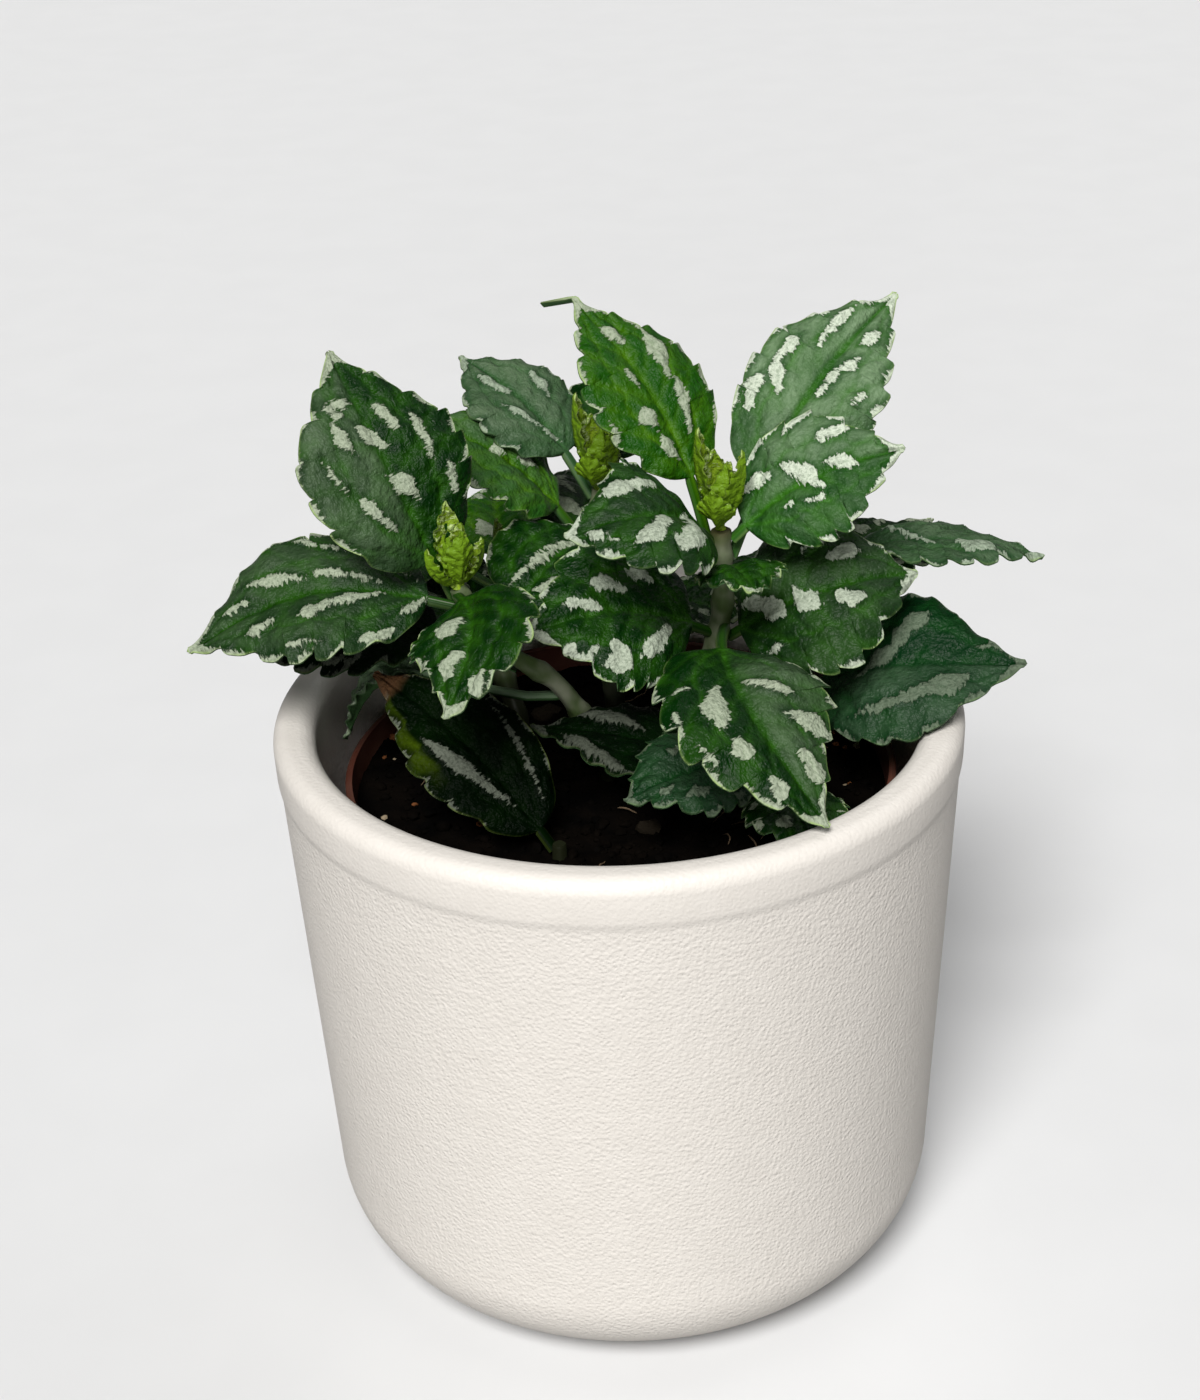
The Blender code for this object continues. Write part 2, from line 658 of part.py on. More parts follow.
def young_leaf(name, base, toward, rise, length, width):
    """A small unfolding leaf, three columns wide."""
    leaf = Leaf(name, "", 0.0, toward, rise, length, width, arch=0.12, fold=22)
    frame = BladeFrame(leaf, base)
    columns = (-1.0, 0.0, 1.0)
    rings = []
    for t, share in ((0.0, 0.35), (0.40, 1.0), (0.60, 0.78), (0.68, 0.92), (1.0, 0.12)):
        rings.append(section(frame, t, width / 2 * share, 0.0, columns, leaf.fold, BLADE_THICKNESS))
    return loft_mesh(name, rings, len(columns))


def make_tip(stem, parent, material):
    """The folded young leaves on top of a stem, grown together at their foot."""
    name, height, toward = TIPS[stem.name]
    top = stem_route(stem)[-1]
    radius = stem_radius(stem, top.z)
    mesh_maker = bmesh.new()
    bmesh.ops.create_icosphere(mesh_maker, subdivisions=1, radius=radius * 1.3)
    bmesh.ops.scale(mesh_maker, vec=(1.0, 1.0, 1.3), verts=mesh_maker.verts)
    bmesh.ops.translate(mesh_maker, vec=top + Vector((0, 0, SEAT + radius * 1.69)), verts=mesh_maker.verts)
    mesh = bpy.data.meshes.new(name)
    mesh_maker.to_mesh(mesh)
    mesh_maker.free()
    core = add_object(name, mesh, material, parent)
    foot = top + Vector((0, 0, SEAT + radius * 1.5))
    leaves = []
    for i, (share, turn, rise) in enumerate(SHOOT_LEAVES):
        mesh = young_leaf(f"young_{i}", foot, toward + turn, rise, height * share, height * share * 0.5)
        leaves.append(bpy.data.objects.new(f"young_{i}", mesh))
    return join_by_union(core, leaves)


def main():
    clear_scene()
    plant = bpy.data.objects.new("potted_plant", None)
    bpy.context.scene.collection.objects.link(plant)
    make_cachepot(plant)
    make_nursery_pot(plant)
    make_soil(plant)
    stem_green = finish("stem_green", (0.16, 0.17, 0.10), 0.5)
    shoot_green = finish("shoot_green", (0.28, 0.42, 0.03), 0.45)
    for stem in STEMS:
        make_stem(stem, plant, stem_green)
        if stem.name in TIPS:
            make_tip(stem, plant, shoot_green)
    make_leaves(plant)


if __name__ == "__main__":
    main()
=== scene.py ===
"""Dresses the potted aluminum plant: its cachepot, nursery pot, soil, stems, leaves and shoot tips.

Blender 4.5, metres, +Z up, in the part's own frame: the origin is the middle of the cachepot's
flat foot, and the side that the plant shows to the viewer faces -Y. Each finer piece keeps the
form and the place of the plain solid that it stands for.
"""

import logging
from dataclasses import dataclass, field
from enum import Enum
from math import cos, log, pi, radians, sin, sqrt, tau
from typing import Iterable

import bmesh
import bpy
import numpy as np
from mathutils import Matrix, Vector, noise


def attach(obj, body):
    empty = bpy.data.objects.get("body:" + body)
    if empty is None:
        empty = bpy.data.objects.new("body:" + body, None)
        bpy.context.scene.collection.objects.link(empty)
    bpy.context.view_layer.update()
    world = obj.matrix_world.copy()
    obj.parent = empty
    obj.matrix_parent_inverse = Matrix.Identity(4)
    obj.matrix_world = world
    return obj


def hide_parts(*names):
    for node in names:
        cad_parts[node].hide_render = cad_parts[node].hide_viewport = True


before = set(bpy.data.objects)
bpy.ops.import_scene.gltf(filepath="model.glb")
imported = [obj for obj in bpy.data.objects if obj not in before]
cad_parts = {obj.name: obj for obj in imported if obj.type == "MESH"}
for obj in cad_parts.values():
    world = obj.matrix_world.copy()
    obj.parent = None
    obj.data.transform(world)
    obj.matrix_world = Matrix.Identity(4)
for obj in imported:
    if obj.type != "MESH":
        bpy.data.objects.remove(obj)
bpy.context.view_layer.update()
LOG = logging.getLogger("potted_plant")

Colour = tuple[float, float, float]
Point = tuple[float, float, float]
MM = 0.001
SEAT = 0.0003
BODY = "root"


class Slot(Enum):
    """The record's material slots."""

    CACHEPOT = "cachepot"
    NURSERY_POT = "nursery_pot"
    SOIL = "soil"
    LEAF = "leaf"
    STEM = "stem"
    SHOOT = "shoot"


class Pattern(Enum):
    """How the silver lies on a leaf: its patches' length, breadth and slant, each as a factor."""

    BLOTCHES = (1.0, 1.0, 1.0)
    STRIPES = (1.55, 0.80, 0.40)
    FAINT = (0.8, 0.55, 0.8)


def unit(vectors: np.ndarray) -> np.ndarray:
    """Each row's vector at length one."""
    return vectors / np.maximum(np.linalg.norm(vectors, axis=-1, keepdims=True), 1e-12)


def smooth_step(low: float, high: float, value: np.ndarray) -> np.ndarray:
    """Zero below `low`, one above `high`, and a soft rise between them."""
    share = np.clip((value - low) / (high - low), 0.0, 1.0)
    return share * share * (3 - 2 * share)


def bell(distance: np.ndarray, width: float) -> np.ndarray:
    """One at no distance, and falling off within about `width`."""
    return np.exp(-((distance / width) ** 2))


def grid_faces(rows: int, columns: int, flip: bool = False) -> np.ndarray:
    """The four-cornered faces of a grid of points.

    Args:
        rows: How many rows of points there are.
        columns: How many points a row has.
        flip: Whether the faces look the other way.

    Returns:
        One row of four point numbers for each face.
    """
    first = (np.arange(rows - 1)[:, None] * columns + np.arange(columns - 1)[None, :]).ravel()
    faces = np.stack([first, first + 1, first + columns + 1, first + columns], axis=1)
    return faces[:, ::-1] if flip else faces


@dataclass
class Draft:
    """Points, faces and values at the points, gathered until they become one piece."""

    points: list[np.ndarray] = field(default_factory=list)
    faces: list[list[int]] = field(default_factory=list)
    values: dict[str, list[np.ndarray]] = field(default_factory=dict)
    count: int = 0

    def add(self, points: np.ndarray, faces: Iterable[np.ndarray], **values: np.ndarray | float) -> None:
        """Adds a shape.

        Args:
            points: Its points, one a row.
            faces: Arrays of its faces, numbered within these points.
            **values: Named values at the points, each an array or one number for all of them.
        """
        for group in faces:
            self.faces.extend((np.asarray(group) + self.count).tolist())
        for name, value in values.items():
            whole = np.broadcast_to(np.asarray(value, float), (len(points), *np.shape(value)[1:]))
            self.values.setdefault(name, []).append(whole)
        self.points.append(points)
        self.count += len(points)

    def piece(self, name: str, material: bpy.types.Material, slot: Slot, nodes: Iterable[str],
              sharp: float = 60) -> bpy.types.Object:
        """Makes the piece that stands for some of the part's nodes.

        Args:
            name: The piece's name.
            material: Its finish.
            slot: The record's slot for that finish; not used.
            nodes: The nodes that it stands for.
            sharp: The angle in degrees past which an edge stays sharp.

        Returns:
            The piece, riding on the part's body.
        """
        mesh = bpy.data.meshes.new(name)
        mesh.from_pydata(np.concatenate(self.points).tolist(), [], self.faces)
        for key, parts in self.values.items():
            value = np.concatenate(parts).astype(np.float32)
            kind, socket = ("FLOAT_VECTOR", "vector") if value.ndim == 2 else ("FLOAT", "value")
            mesh.attributes.new(key, kind, "POINT").data.foreach_set(socket, value.ravel())
        mesh.update()
        return finish_piece(name, mesh, material, nodes, sharp)


def finish_piece(name: str, mesh: bpy.types.Mesh, material: bpy.types.Material,
                 nodes: Iterable[str], sharp: float = 60) -> bpy.types.Object:
    """Links a mesh as a piece of the part, with its finish and its body.

    Args:
        name: The piece's name.
        mesh: Its mesh.
        material: Its finish.
        nodes: The nodes that it stands for.
        sharp: The angle in degrees past which an edge stays sharp.

    Returns:
        The piece.
    """
    mesh.shade_smooth()
    mesh.set_sharp_from_angle(angle=radians(sharp))
    mesh.materials.append(material)
    piece = bpy.data.objects.new(name, mesh)
    bpy.context.scene.collection.objects.link(piece)
    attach(piece, BODY)
    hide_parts(*nodes)
    LOG.info("%s: %d faces", name, len(mesh.polygons))
    return piece


class Sketch:
    """Adds nodes to a shader tree and joins them."""

    def __init__(self, tree: bpy.types.NodeTree) -> None:
        """Works on one tree."""
        self.tree = tree

    def node(self, kind: str, inputs: dict | None = None, **settings: object) -> bpy.types.Node:
        """Adds a node.

        Args:
            kind: The node's type, without the leading ShaderNode.
            inputs: Socket name or number to a value, or to the socket that feeds it.
            **settings: The node's own properties.

        Returns:
            The node.
        """
        made = self.tree.nodes.new(kind if kind.startswith("NodeGroup") else "ShaderNode" + kind)
        for key, value in settings.items():
            setattr(made, key, value)
        for key, value in (inputs or {}).items():
            self.feed(made.inputs[key], value)
        return made

    def feed(self, socket: bpy.types.NodeSocket, value: object) -> None:
        """Gives a socket a value, or joins it to the socket that feeds it."""
        if isinstance(value, bpy.types.NodeSocket):
            self.tree.links.new(value, socket)
        elif socket.type == "RGBA":
            socket.default_value = (*value, 1.0)
        else:
            socket.default_value = value

    def math(self, operation: str, first: object, second: object = 0.0,
             clamp: bool = False) -> bpy.types.NodeSocket:
        """The result of one operation on two numbers."""
        return self.node("Math", {0: first, 1: second}, operation=operation, use_clamp=clamp).outputs[0]

    def mix(self, share: object, first: object, second: object) -> bpy.types.NodeSocket:
        """The first colour turned into the second by a share."""
        return self.node("Mix", {0: share, 6: first, 7: second}, data_type="RGBA").outputs[2]

    def ramp(self, value: object, low: float, high: float, start: float = 0.0,
             end: float = 1.0) -> bpy.types.NodeSocket:
        """A value from `low` to `high` turned softly into one from `start` to `end`."""
        inputs = {"Value": value, "From Min": low, "From Max": high, "To Min": start, "To Max": end}
        return self.node("MapRange", inputs, interpolation_type="SMOOTHSTEP").outputs["Result"]

    def value_at(self, name: str) -> bpy.types.NodeSocket:
        """A number kept at the mesh's points."""
        return self.node("Attribute", attribute_name=name).outputs["Fac"]

    def place_at(self, name: str) -> bpy.types.NodeSocket:
        """A vector kept at the mesh's points."""
        return self.node("Attribute", attribute_name=name).outputs["Vector"]

    def group(self, tree: bpy.types.NodeTree, **inputs: object) -> bpy.types.Node:
        """Places a node group, with its inputs named by their words joined with underscores."""
        made = self.node("Group", node_tree=tree)
        for key, value in inputs.items():
            self.feed(made.inputs[key.replace("_", " ").title()], value)
        return made


def start_group(name: str, inputs: dict[str, str], outputs: dict[str, str],
                ) -> tuple[bpy.types.NodeTree, Sketch, bpy.types.Node, bpy.types.Node]:
    """Starts a shader node group.

    Args:
        name: The group's name.
        inputs: Each input's name and whether it is a Float, a Vector or a Color.
        outputs: The same for each output.

    Returns:
        The group, a sketch of it, and its two end nodes.
    """
    tree = bpy.data.node_groups.new(name, "ShaderNodeTree")
    for direction, sockets in (("INPUT", inputs), ("OUTPUT", outputs)):
        for socket, kind in sockets.items():
            tree.interface.new_socket(socket, in_out=direction, socket_type="NodeSocket" + kind)
    sketch = Sketch(tree)
    return tree, sketch, sketch.node("NodeGroupInput"), sketch.node("NodeGroupOutput")


class Effects:
    """The shader node groups that several finishes share."""

    def __init__(self) -> None:
        """Builds each group once."""
        self.grain = self.make_grain()
        self.patches = self.make_patches()
        self.specks = self.make_specks()

    @staticmethod
    def make_grain() -> bpy.types.NodeTree:
        """A fine moulded or grown roughness: its height, and a soft mottling from 0 to 1."""
        tree, sketch, given, out = start_group(
            "fine_grain", {"Place": "Vector", "Scale": "Float", "Softness": "Float"},
            {"Height": "Float", "Mottle": "Float"})
        place, scale = given.outputs["Place"], given.outputs["Scale"]
        fine = sketch.node("TexNoise", {"Vector": place, "Scale": scale, "Detail": 3.0, "Roughness": 0.6})
        cells = sketch.node("TexVoronoi", {"Vector": place, "Scale": scale}, feature="SMOOTH_F1")
        blend = sketch.node("Mix", {0: given.outputs["Softness"], 2: fine.outputs[0],
                                    3: cells.outputs["Distance"]})
        sketch.feed(out.inputs["Height"], blend.outputs[0])
        broad = sketch.node("TexNoise", {"Vector": place, "Scale": sketch.math("MULTIPLY", scale, 0.12),
                                         "Detail": 2.0})
        sketch.feed(out.inputs["Mottle"], sketch.ramp(broad.outputs[0], 0.3, 0.7))
        return tree

    @staticmethod
    def make_patches() -> bpy.types.NodeTree:
        """Silver patches with ragged edges, from how far inside a patch each place lies."""
        tree, sketch, given, out = start_group(
            "silver_patches", {"Field": "Float", "Place": "Vector", "Raggedness": "Float"},
            {"Mask": "Float", "Height": "Float"})
        place = given.outputs["Place"]
        broad = sketch.node("TexNoise", {"Vector": place, "Scale": 0.42, "Detail": 2.0})
        combed = sketch.node("Mapping", {"Vector": place, "Scale": (3.4, 1.0, 1.0)})
        barbs = sketch.node("TexNoise", {"Vector": combed.outputs[0], "Scale": 0.50, "Detail": 4.0,
                                         "Roughness": 0.68})
        swing = sketch.math("MULTIPLY", sketch.math("SUBTRACT", broad.outputs[0], 0.5), 1.1)
        fringe = sketch.math("MULTIPLY", sketch.math("SUBTRACT", barbs.outputs[0], 0.5), 4.2)
        shift = sketch.math("MULTIPLY", sketch.math("ADD", swing, fringe), given.outputs["Raggedness"])
        inside = sketch.math("ADD", given.outputs["Field"], shift)
        mask = sketch.ramp(inside, -0.08, 0.20)
        pits = sketch.node("TexNoise", {"Vector": place, "Scale": 1.9, "Detail": 4.0, "Roughness": 0.70})
        worn = sketch.ramp(pits.outputs[0], 0.34, 0.58, 0.55, 1.0)
        sketch.feed(out.inputs["Mask"], sketch.math("MULTIPLY", mask, worn))
        raised = sketch.math("ADD", mask, sketch.math("MULTIPLY", pits.outputs[0], mask))
        sketch.feed(out.inputs["Height"], raised)
        return tree

    @staticmethod
    def make_specks() -> bpy.types.NodeTree:
        """Scattered small specks, as a mask."""
        tree, sketch, given, out = start_group(
            "specks", {"Place": "Vector", "Scale": "Float", "Size": "Float", "Share": "Float"},
            {"Mask": "Float"})
        cells = sketch.node("TexVoronoi", {"Vector": given.outputs["Place"],
                                           "Scale": given.outputs["Scale"]}, feature="F1")
        near = sketch.math("LESS_THAN", cells.outputs["Distance"], given.outputs["Size"])
        chosen = sketch.node("SeparateColor", {0: cells.outputs["Color"]})
        kept = sketch.math("LESS_THAN", chosen.outputs[0], given.outputs["Share"])
        sketch.feed(out.inputs["Mask"], sketch.math("MULTIPLY", near, kept))
        return tree


def new_material(name: str) -> tuple[bpy.types.Material, Sketch, bpy.types.Node]:
    """Starts a material.

    Args:
        name: The material's name.

    Returns:
        The material, a sketch of its tree, and its shader.
    """
    material = bpy.data.materials.new(name)
    material.use_nodes = True
    return material, Sketch(material.node_tree), material.node_tree.nodes["Principled BSDF"]


@dataclass(frozen=True)
class LeafFinish:
    """A leaf's colours, from the deep green of its blade to its silver."""

    name: str
    deep: Colour = (0.0006, 0.0190, 0.0004)
    bright: Colour = (0.0290, 0.1240, 0.0040)
    silver: Colour = (0.3700, 0.4250, 0.3100)
    # Painted sheen: a grey-green that stands in for the reflection of bright surroundings; on the aged leaf a real
    # yellow-green.
    sheen_and_yellowing_tint: Colour = (0.1300, 0.2050, 0.1050)
    margin: Colour = (0.3200, 0.4600, 0.1400)
    under: Colour = (0.0500, 0.1150, 0.0400)
    brown: Colour = (0.1200, 0.0600, 0.0280)
    brightness: float = 0.50
    raggedness: float = 0.8
    browning: float = 0.004
    roughness: float = 0.40
    silver_roughness: float = 0.50
    sheen: float = 0.16

    def build(self, effects: Effects) -> bpy.types.Material:
        """Makes the material.

        Args:
            effects: The shared node groups.

        Returns:
            The material.
        """
        material, sketch, shader = new_material(self.name)
        place = sketch.place_at("blade")
        vein, edge, under = (sketch.value_at(key) for key in ("vein", "edge", "under"))
        patches = sketch.group(effects.patches, field=sketch.value_at("silver"), place=place,
                               raggedness=self.raggedness)
        grain = sketch.group(effects.grain, place=place, scale=1.6, softness=0.35)
        lit = sketch.math("ADD", sketch.math("MULTIPLY", vein, self.brightness),
                          sketch.ramp(grain.outputs["Mottle"], 0.25, 0.90, 0.0, 0.24), clamp=True)
        plain = sketch.mix(lit, self.deep, self.bright)
        # Painted sheen: grey-green mixed into the green where the blade would reflect the bright surroundings; on the
        # aged leaf the same mix paints its real yellow-green margin.
        sheen_and_yellowing_share = sketch.math("MULTIPLY", sketch.value_at("haze"),
                            sketch.ramp(grain.outputs["Height"], 0.15, 0.75, 0.55, 1.0))
        green = sketch.mix(sheen_and_yellowing_share, plain, self.sheen_and_yellowing_tint)
        silvered = sketch.mix(patches.outputs["Mask"], green, self.silver)
        rim = sketch.math("MULTIPLY", sketch.ramp(edge, 0.0, 0.45, 0.80, 0.0),
                          sketch.ramp(patches.outputs["Height"], 0.0, 1.0, 0.30, 1.0))
        rim = sketch.math("MULTIPLY", rim, sketch.ramp(grain.outputs["Mottle"], 0.35, 0.65, 0.35, 1.0))
        top = sketch.mix(rim, silvered, self.margin)
        specks = sketch.group(effects.specks, place=place, scale=0.22, size=0.09, share=self.browning)
        browned = sketch.math("MAXIMUM", specks.outputs["Mask"], sketch.value_at("scorch"))
        marked = sketch.mix(browned, top, self.brown)
        sketch.feed(shader.inputs["Base Color"], sketch.mix(under, marked, self.under))
        rough = sketch.ramp(patches.outputs["Mask"], 0.0, 1.0, self.roughness, self.silver_roughness)
        sketch.feed(shader.inputs["Roughness"], rough)
        relief = sketch.math("ADD", sketch.math("MULTIPLY", patches.outputs["Height"], 0.70),
                             sketch.math("MULTIPLY", grain.outputs["Height"], 1.10))
        relief = sketch.math("SUBTRACT", relief, sketch.math("MULTIPLY", vein, 0.5))
        crinkle = sketch.node("TexNoise", {"Vector": place, "Scale": 0.55, "Detail": 3.0, "Roughness": 0.6})
        relief = sketch.math("ADD", relief, sketch.math("MULTIPLY", crinkle.outputs[0], 4.0))
        bump = sketch.node("Bump", {"Strength": 0.75, "Distance": 0.36 * MM, "Height": relief})
        sketch.feed(shader.inputs["Normal"], bump.outputs[0])
        shader.inputs["Specular IOR Level"].default_value = self.sheen
        return material


DEEP = LeafFinish("leaf_deep_green")
# Lit copy of the leaf finish: brighter green, silver and sheen painted on for the top leaves that face the light.
LIT = LeafFinish("leaf_painted_lit", deep=(0.0030, 0.0500, 0.0015), bright=(0.0450, 0.1850, 0.0080),
                 silver=(0.6200, 0.6900, 0.5600), sheen_and_yellowing_tint=(0.1850, 0.2850, 0.1550))
# Half-lit copy: silver painted brighter than the plain finish's, for leaves that catch some light.
HALF_LIT = LeafFinish("leaf_half_lit_silver", silver=(0.4500, 0.5100, 0.4000))
FROSTED = LeafFinish("leaf_frosted", deep=(0.0100, 0.0500, 0.0120), bright=(0.0400, 0.1200, 0.0300),
                     silver=(0.3200, 0.3900, 0.2900), sheen_and_yellowing_tint=(0.1250, 0.1850, 0.1050),
                     margin=(0.2200, 0.3200, 0.1200))
FRESH = LeafFinish("leaf_fresh_green", deep=(0.0080, 0.0700, 0.0006), bright=(0.0700, 0.1900, 0.0030),
                   brightness=0.65)
BLURRED = LeafFinish("leaf_dark_dim_silver", deep=(0.0014, 0.0240, 0.0050), bright=(0.0100, 0.0700, 0.0100),
                     silver=(0.1250, 0.1650, 0.1100), sheen_and_yellowing_tint=(0.0550, 0.1050, 0.0550),
                     margin=(0.1200, 0.2000, 0.0800), brightness=0.3)
# Aged leaf: its yellow-green margin and dried tip are its own; its near-black green and dim silver are painted shade.
AGED_SHADED = LeafFinish("leaf_aged_painted_shade", deep=(0.0004, 0.0030, 0.0004), bright=(0.0030, 0.0140, 0.0008),
                  silver=(0.1250, 0.1400, 0.1100), sheen_and_yellowing_tint=(0.0550, 0.0950, 0.0030),
                  margin=(0.1100, 0.1500, 0.0300), brightness=0.2, browning=0.0,
                  sheen=0.03)
# Shaded copy: near-black green and dark silver painted on for leaves that lie in the plant's shade.
IN_SHADE = LeafFinish("leaf_in_painted_shade", deep=(0.0004, 0.0030, 0.0004), bright=(0.0020, 0.0140, 0.0008),
                 silver=(0.0750, 0.0850, 0.0650), margin=(0.0600, 0.0900, 0.0300), brightness=0.3,
                 browning=0.0, sheen=0.03)
# Pale grey-green leaf, painted lighter than it is to make up for the shade it hangs in: partly its own colour, partly
# painted light.
PALE_LIFTED = LeafFinish("leaf_pale_painted_light", deep=(0.1300, 0.2100, 0.1150), bright=(0.2000, 0.3000, 0.1600),
                  silver=(0.5000, 0.6000, 0.4600), margin=(0.2600, 0.3400, 0.2000), browning=0.0)
YOUNG = LeafFinish("shoot_young_green", deep=(0.1000, 0.2000, 0.0040), bright=(0.3000, 0.4300, 0.0300),
                   silver=(0.5000, 0.6200, 0.2600), margin=(0.3800, 0.5200, 0.1300),
                   under=(0.1400, 0.2600, 0.0100), brightness=0.6, raggedness=1.4, browning=0.0)



@dataclass(frozen=True)
class Stem:
    """A stem: its route above the soil, its thickness, and how far up its leaf pairs sit."""

    name: str
    route: tuple[Point, ...]
    nodes: tuple[float, ...]
    radius: float = 0.0019

    # Heights where the stem turns reddish, and below which it turns near black.
    RED_FROM = 0.138
    RED_TO = 0.144
    DARK_FOOT_TO = 0.1040

    root: float = 0.0120
    collar: float = 0.0030
    taper: float = 0.65
    swelling: float = 1.25
    swollen: float = 0.0025

    def line(self, steps: int = 3) -> np.ndarray:
        """The centre line from the foot in the soil to the top.

        Args:
            steps: How many points each stretch between two route points gets.

        Returns:
            The line's points, one a row.
        """
        points = [np.array(p) for p in self.route]
        foot = points[0] - (0.0, 0.0, self.root)
        points[0] = points[0] + (0.0, 0.0, self.collar)
        padded = [points[0] * 2 - points[1], *points, points[-1] * 2 - points[-2]]
        line = [foot]
        for a, b, c, d in zip(padded, padded[1:], padded[2:], padded[3:]):
            for i in range(steps):
                t = i / steps
                line.append(0.5 * (2 * b + (c - a) * t + (2 * a - 5 * b + 4 * c - d) * t**2
                                   + (3 * b - a - 3 * c + d) * t**3))
        line.append(points[-1])
        return np.array(line)

    def thickness(self, z: float) -> float:
        """The stem's radius at a height."""
        low, high = self.route[0][2], self.route[-1][2]
        share = min(max((z - low) / (high - low), 0.0), 1.0)
        radius = self.radius * (1 - (1 - self.taper) * share)
        if z <= low:
            return radius
        nearest = min(abs(z - node) for node in self.nodes)
        return radius * (1 + (self.swelling - 1) * max(0.0, 1 - nearest / self.swollen))

    def at(self, z: float) -> np.ndarray:
        """The centre line's point at a height."""
        line = self.line()
        return np.array([np.interp(z, line[:, 2], line[:, k]) for k in range(3)])

    def gap(self, points: np.ndarray) -> float:
        """The least distance from any of the points to the stem's skin."""
        line = self.line()
        radii = np.array([self.thickness(z) for z in line[:, 2]])
        run = line[1:] - line[:-1]
        offset = points[:, None, :] - line[None, :-1, :]
        share = np.clip((offset * run).sum(-1) / (run * run).sum(-1), 0.0, 1.0)
        skin = radii[:-1] * (1 - share) + radii[1:] * share
        return float((np.linalg.norm(offset - run * share[..., None], axis=-1) - skin).min())

    def draft(self, sides: int = 18, steps: int = 12) -> Draft:
        """Builds the stem as a tube, faintly four-sided, with a ring at each pair of leaves.

        Args:
            sides: How many points go round it.
            steps: How many rings each stretch of its route gets.

        Returns:
            The draft.
        """
        line = self.line(steps)
        tangents = unit(np.gradient(line, axis=0))
        reference = np.array([1.0, 0.0, 0.0])
        across = unit(reference - tangents * (tangents @ reference)[:, None])
        beside = np.cross(tangents, across)
        angles = tau * np.arange(sides) / sides
        square = 1 + 0.07 * np.cos(4 * angles)
        rings = []
        for centre, u, v in zip(line, across, beside):
            radius = self.thickness(centre[2])
            nearest = min(abs(centre[2] - node) for node in self.nodes)
            radius *= 1 + 0.10 * float(bell(np.array(nearest), 0.0006))
            circle = np.cos(angles)[:, None] * u + np.sin(angles)[:, None] * v
            rings.append(centre + circle * (radius * square)[:, None])
        points = np.concatenate([*rings, line[:1], line[-1:]])
        first = np.arange(len(line) - 1)[:, None] * sides + np.arange(sides)[None, :]
        second = np.arange(len(line) - 1)[:, None] * sides + (np.arange(sides) + 1)[None, :] % sides
        walls = np.stack([first, second, second + sides, first + sides], axis=-1).reshape(-1, 4)
        foot, head = len(line) * sides, len(line) * sides + 1
        around = np.arange(sides)
        after = (around + 1) % sides
        last = (len(line) - 1) * sides
        base = np.stack([after, around, np.full(sides, foot)], axis=1)
        top = np.stack([last + around, last + after, np.full(sides, head)], axis=1)
        ripe = smooth_step(self.RED_FROM, self.RED_TO, points[:, 2])
        node = np.min([np.abs(points[:, 2] - height) for height in self.nodes], axis=0)
        draft = Draft()
        # Darker towards the foot: near black from the soil up to a few millimetres above it.
        stained = 1 - smooth_step(self.DARK_FOOT_TO - 0.005, self.DARK_FOOT_TO, points[:, 2])
        draft.add(points, (walls, base, top), ripe=ripe, node=bell(node, 0.0012), stained=stained)
        return draft


@dataclass(frozen=True)
class Leaf:
    """One leaf: where it joins its stem, and the line from there to its tip.

    `at` is the joint's height. `toward` is the compass direction of the tip seen from above, from
    +X, and `rise` its climb. `length` takes in the petiole. A positive `roll` lowers the blade's
    right-hand side. `arch` and `sweep` bow the midrib upward and to the right, most at `crest`
    of the way along. `drip` is a thin point past the blade. `haze` is how strong a painted grey-green
    sheen, standing in for reflected light, lies on the left and on the right half, and from which share
    of its breadth; on the aged leaf the same value paints its real yellow-green margin. `teeth` scales
    the margin's teeth. `scorch` is how much of the blade is dried at its tip.
    """

    name: str
    stem: str
    at: float
    toward: float
    rise: float
    length: float
    width: float
    roll: float = 0.0
    arch: float = 0.10
    sweep: float = 0.0
    petiole: float = 0.008
    crest: float = 0.5
    fold: float = 8.0
    drip: float = 0.0
    finish: LeafFinish = DEEP
    pattern: Pattern = Pattern.BLOTCHES
    haze: tuple[float, ...] = (0.0, 0.0)
    teeth: float = 1.0
    scorch: float = 0.0


class Midrib:
    """The midrib of a leaf, and the directions across and out of the blade along it."""

    STEP = 0.01
    DRIP_FORWARD = 0.35
    DRIP_DOWN = 0.94

    def __init__(self, leaf: Leaf, base: np.ndarray) -> None:
        """Works out the leaf's own directions from its base."""
        rise, toward = radians(leaf.rise), radians(leaf.toward)
        self.leaf, self.base = leaf, base
        self.chord = np.array([cos(toward) * cos(rise), sin(toward) * cos(rise), sin(rise)])
        upward = np.array([0.0, 0.0, 1.0])
        self.up = unit(upward - self.chord * (upward @ self.chord))
        self.side = np.cross(self.chord, self.up)
        self.power = log(0.5) / log(leaf.crest)

    def points(self, t: np.ndarray) -> np.ndarray:
        """The midrib's points at shares of its length."""
        inside = np.clip(t, 0.0, 1.0)
        bow = np.sin(pi * inside**self.power)[:, None]
        shift = self.up * self.leaf.arch + self.side * self.leaf.sweep
        past = np.maximum(t - 1.0, 0.0)[:, None]
        hang = self.chord * self.DRIP_FORWARD - self.up * self.DRIP_DOWN
        return self.base + (self.chord * inside[:, None] + shift * bow + hang * past) * self.leaf.length

    def axes(self, t: np.ndarray) -> tuple[np.ndarray, np.ndarray, np.ndarray]:
        """Along, right and up at shares of the midrib's length."""
        near = np.maximum(t - self.STEP, 0.0)
        far = np.maximum(t + self.STEP, self.STEP)
        along = unit(self.points(far) - self.points(near))
        roll = radians(self.leaf.roll)
        normal = self.up * cos(roll) + self.side * sin(roll)
        normal = unit(normal - along * (along @ normal)[:, None])
        return along, np.cross(along, normal), normal


